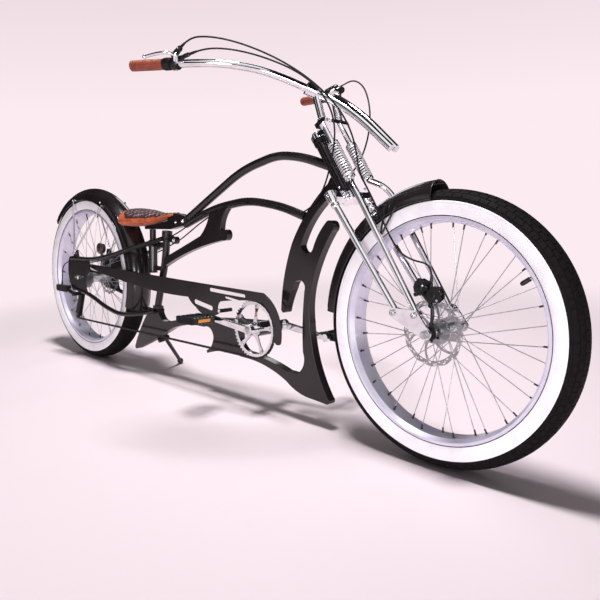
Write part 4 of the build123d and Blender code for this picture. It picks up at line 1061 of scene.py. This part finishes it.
cordSize = {"radius": 0.0025, "beside": 0.0185,
            "ferrule": [(0.0026, 0), (0.004, 0.0005), (0.004, 0.01), (0.0034, 0.012), (0.0034, 0.018),
                        (0.0026, 0.019)]}
frontHose = [(1.134, -0.346, 1.138), (1.179, -0.3523, 1.1542), (1.232, -0.328, 1.154), (1.288, -0.292, 1.141),
             (1.344, -0.252, 1.118), (1.398, -0.212, 1.088), (1.448, -0.172, 1.051), (1.492, -0.134, 1.006),
             (1.528, -0.102, 0.954), (1.55, -0.08, 0.898), (1.56, -0.068, 0.842), (1.568, -0.064, 0.788),
             (1.598, -0.064, 0.746), (1.628, -0.064, 0.7), (1.657, -0.064, 0.653), (1.686, -0.064, 0.607),
             (1.716, -0.064, 0.572), (1.758, -0.0645, 0.556), (1.798, -0.065, 0.552), (1.815, -0.0653, 0.534),
             (1.815, -0.0653, 0.5043)]
barRun = [(1.15, 0.322, 1.122), (1.193, 0.3132, 1.13), (1.246, 0.28, 1.129), (1.3, 0.24, 1.117),
          (1.354, 0.198, 1.096), (1.404, 0.157, 1.069), (1.446, 0.122, 1.032), (1.475, 0.098, 0.986),
          (1.488, 0.082, 0.934), (1.484, 0.073, 0.88), (1.466, 0.065, 0.83), (1.442, 0.05, 0.788),
          (1.412, 0.033, 0.752), (1.378, 0.021, 0.716), (1.34, 0.0185, 0.688)]
tubeRun = [(1.29, 0.0185, 0.668), (1.2, 0.0185, 0.689), (1.048, 0.0185, 0.708), (0.93, 0.0185, 0.693),
           (0.82, 0.0185, 0.664), (0.74, 0.02, 0.628), (0.668, 0.026, 0.592), (0.6, 0.038, 0.564),
           (0.54, 0.054, 0.548), (0.476, 0.068, 0.53), (0.4, 0.084, 0.508), (0.27, 0.0895, 0.471)]
caliperRun = [(0.215, 0.086, 0.452), (0.172, 0.074, 0.437), (0.138, 0.066, 0.427), (0.1003, 0.065, 0.424)]
derailleurRun = [(0.12, 0.0895, 0.446), (0.02, 0.09, 0.443), (-0.062, 0.091, 0.441), (-0.112, 0.095, 0.428),
                 (-0.134, 0.0985, 0.394), (-0.135, 0.099, 0.3273)]


def splineThrough(points):  # the points of a smooth spline whose control points are given
    curve = bpy.data.curves.new("route", "CURVE")
    curve.dimensions = "3D"
    curve.resolution_u = 6
    spline = curve.splines.new("NURBS")
    spline.points.add(len(points) - 1)
    for control, spot in zip(spline.points, points):
        control.co = (*spot, 1)
    spline.order_u = 3
    spline.use_endpoint_u = True
    holder = bpy.data.objects.new("route", curve)
    mesh = bpy.data.meshes.new_from_object(holder)
    line = [vert.co.copy() for vert in mesh.vertices]
    bpy.data.objects.remove(holder)
    bpy.data.curves.remove(curve)
    bpy.data.meshes.remove(mesh)
    return line


def makeCord(name, points, replaced):
    bm = bmesh.new()
    line = splineThrough(points)
    sweep(bm, line, cordSize["radius"], sides=12)
    for spot, toward in ((line[0], line[1]), (line[-1], line[-2])):
        lathe(bm, cordSize["ferrule"], aim(spot, toward - spot), steps=14, look=1)
    return finishPiece(bm, name, "fork", [hose, parts], bike, (replaced,))


def makeCords():
    makeCord("frontHose", frontHose, "front_brake_hose")
    for name, side, tail, replaced in (("rearHose", 1, caliperRun, "rear_brake_hose"),
                                       ("shiftCable", -1, derailleurRun, "shift_cable")):
        piece = makeCord(name, [(x, side * y, z) for x, y, z in barRun + tubeRun + tail], replaced)
        piece.parent = None
        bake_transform(piece)


def makeCableClips():  # small saddles that hold both lines under the second tube
    bm = bmesh.new()
    for x, z in ((1.2, 0.689), (1.048, 0.706), (0.93, 0.6925), (0.82, 0.664)):
        for side in bothSides:
            lathe(bm, [(0.0027, -0.004), (0.004, -0.004), (0.0044, 0), (0.004, 0.004), (0.0027, 0.004)],
                  aim((x, side * cordSize["beside"], z), (1, 0, 0.05)), steps=16, closed=True)
        cuboid(bm, (0.007, 0.032, 0.0016), Matrix.Translation((x, 0, z + 0.003)))
    finishPiece(bm, "lineClips", "frame", [parts], bike)


makeCords()
makeCableClips()
print("hoses and cable ready")


# frame trim: rolled fender edges, bolts and nuts

# Ends earlier over the wheel than its solid, with studs to both legs.
def makeFrontGuard():
    bm = bmesh.new()
    loop = []
    for r, order in ((guardSize["half"], range(25)), (guardSize["half"] - guardSize["thick"], range(24, -1, -1))):
        for k in order:
            b = math.pi * k / 24
            loop.append((guardSize["ring"] + r * math.sin(b), r * math.cos(b)))
    tip, foot = guardSize["front"]
    lathe(bm, loop, Matrix.Translation((frontX, 0, axleHeight)) @ turnedAcross, steps=72, closed=True,
          start=math.radians(-foot), arc=math.radians(foot - tip))
    finishPiece(bm, "frontGuard", "fork", [paint], bike, ("front_fender",))
    bm = bmesh.new()
    for side in bothSides:
        for u, v in ((0.0113, -0.16), (0.0852, -0.15)):
            lathe(bm, [(0.004, 0.0485), (0.004, 0.0765)],
                  Matrix.Translation((u, 0, v)) @ Matrix.Rotation(-side * math.pi / 2, 4, "X"), steps=16)
            bolt(bm, (u, side * 0.052, v), (0, side, 0), 0.0062, 0.003)
    finishPiece(bm, "guardStuds", "fork", [parts], fork)
    bm = bmesh.new()
    for side in bothSides:  # struts from the fender's edge down to the sprung legs
        for x, z in ((1.686, 0.695), (1.653, 0.6985)):
            sweep(bm, [(x, side * 0.0535, z), (1.657, side * 0.0785, 0.613)], 0.0028, sides=10)
    finishPiece(bm, "guardStruts", "fork", [parts], bike)


def makeFrontCaliper():  # two halves bolted together astride the disc, on an arm from the axle
    bm = bmesh.new()
    upper = [(-0.022, 0.004), (-0.016, 0.02), (-0.002, 0.026), (0.012, 0.02), (0.018, 0.006), (0.012, -0.014),
             (-0.004, -0.02), (-0.018, -0.012)]
    lower = [(-0.02, 0.008), (-0.008, 0.02), (0.008, 0.022), (0.02, 0.012), (0.022, -0.006), (0.01, -0.018),
             (-0.006, -0.02), (-0.018, -0.008)]
    for outline, x, z, rise in ((upper, 1.7905, 0.486, 0.014), (lower, 1.829, 0.47, 0.017)):
        loop = [(px, -pz) for px, pz in outline]
        for low, high in ((-0.0815, -0.0712), (-0.05, -0.0592)):
            prism(bm, loop, 0, low - high, Matrix.Translation((x, high, z)) @ turnedAcross, 0.88)
        lathe(bm, [(0.0088, 0), (0.0088, 0.0022), (0.007, 0.0032), (0.003, 0.0032), (0.0024, 0.0016)],
              aim((x, -0.0812, z), (0, -1, 0)), steps=22)
        cuboid(bm, (0.026, 0.03, 0.012), Matrix.Translation((x + 0.001, -0.065, z + rise)), 0.9)
    for x, z in ((1.779, 0.47), (1.788, 0.508), (1.849, 0.48), (1.824, 0.445), (1.809, 0.488)):
        lathe(bm, [(0.0056, -0.003), (0.0056, 0.005), (0.0044, 0.0065), (0.0026, 0.0065), (0.0022, 0.004)],
              aim((x, -0.0775, z), (0, -1, 0)), steps=16)
    for x, z in ((1.842, 0.46), (1.798, 0.494)):
        bolt(bm, (x, -0.0815, z), (0, -1, 0), 0.0026, 0.002, 1)
    arm = [(1.824, 0.392), (1.829, 0.41), (1.829, 0.43), (1.824, 0.446), (1.812, 0.46), (1.797, 0.472)]
    sweep(bm, smoothed([(x, -0.0745, z) for x, z in arm]), 0.0048, sides=12)
    lathe(bm, [(0.0096, -0.002), (0.018, -0.002), (0.0186, 0), (0.018, 0.002), (0.0096, 0.002)],
          aim((frontX, -0.0752, axleHeight), (0, -1, 0)), steps=36, closed=True)
    for k in range(4):
        a = math.radians(45 + 90 * k)
        spot = (frontX + 0.0142 * math.cos(a), -0.077, axleHeight + 0.0142 * math.sin(a))
        bolt(bm, spot, (0, -1, 0), 0.0022, 0.0016)
    lathe(bm, [(0.005, 0), (0.005, 0.009), (0.004, 0.011), (0.003, 0.022)],
          aim((1.815, -0.0655, 0.4905), (0, 0.05, 1)), steps=18)
    finishPiece(bm, "frontCaliperHalves", "fork", [parts, steel], bike, ("front_caliper",),
                bevel=0.0009)


def fenderLine(x0, reach, y, low, high):  # along a fender at one radius and one offset
    angles = [math.radians(low + (high - low) * k / 90) for k in range(91)]
    return [(x0 + reach * math.cos(a), y, axleHeight + reach * math.sin(a)) for a in angles]


def makeGuardBeads():
    ring, half, bead = guardSize["ring"], guardSize["half"], guardSize["bead"]
    edge, crease = half - 0.001, math.radians(guardSize["crease"])
    for end, body, x0 in (("rear", "frame", 0.0), ("front", "fork", frontX)):
        low, high = guardSize[end]
        bm = bmesh.new()
        for side in bothSides:
            sweep(bm, fenderLine(x0, ring, side * edge, low, high), bead, sides=8)
        for side in bothSides:  # a pressed ridge along each flank
            sweep(bm, fenderLine(x0, ring + half * math.sin(crease), side * half * math.cos(crease),
                                 low + 1.5, high - 1.5), bead * 0.7, sides=8)
        for a in (math.radians(low), math.radians(high)):
            hoop = []
            for b in [math.pi * k / 32 for k in range(33)]:
                reach = ring + edge * math.sin(b)
                hoop.append((x0 + reach * math.cos(a), edge * math.cos(b), axleHeight + reach * math.sin(a)))
            sweep(bm, hoop, bead * 0.8, sides=8)
        finishPiece(bm, end + "GuardBead", body, [paint], bike)


def makeFrameBolts():
    bm = bmesh.new()
    for side in bothSides:
        bolt(bm, (-0.025, side * 0.0952, 0.48), (0, side, 0), 0.0055, 0.004)
        for x, z in ((0.156, 0.7064), (-0.0855, 0.715)):
            bolt(bm, (x, side * 0.0612, z), (0, side, 0), 0.0042, 0.003)
        hexNut(bm, (0, side * 0.0928, axleHeight), (0, side, 0), 0.0088, 0.003)
    for x, z in ((0.086, 0.428), (0.968, 0.33)):
        bolt(bm, (x, -0.0702, z), (0, -1, 0), 0.0052, 0.0032)
    for side in (-1, 1):
        bolt(bm, (0.617, side * 0.0102, 0.562), (0, side, 0), 0.0075, 0.003)
    for side in bothSides:  # bottom bracket cups
        lathe(bm, [(0.0102, 0), (0.023, 0), (0.023, 0.0025), (0.019, 0.0035), (0.0102, 0.0035)],
              aim((drive["bracket"][0], side * 0.05, drive["bracket"][1]), (0, side, 0)), steps=36, closed=True)
    finishPiece(bm, "frameBolts", "frame", [chrome], bike)


def makeReflector():
    bm = bmesh.new()
    lathe(bm, [(0.0004, 0.0046), (0.012, 0.0042), (0.0205, 0.003), (0.0232, 0.0006), (0.0232, -0.004)],
          aim((0.206, -0.096, 0.512), (0, -1, 0)), steps=40)
    finishPiece(bm, "reflectorLens", "frame", [smokeLens], bike)


makeFrontGuard()
makeFrontCaliper()
makeGuardBeads()
makeFrameBolts()
makeReflector()
print("frame trim ready")
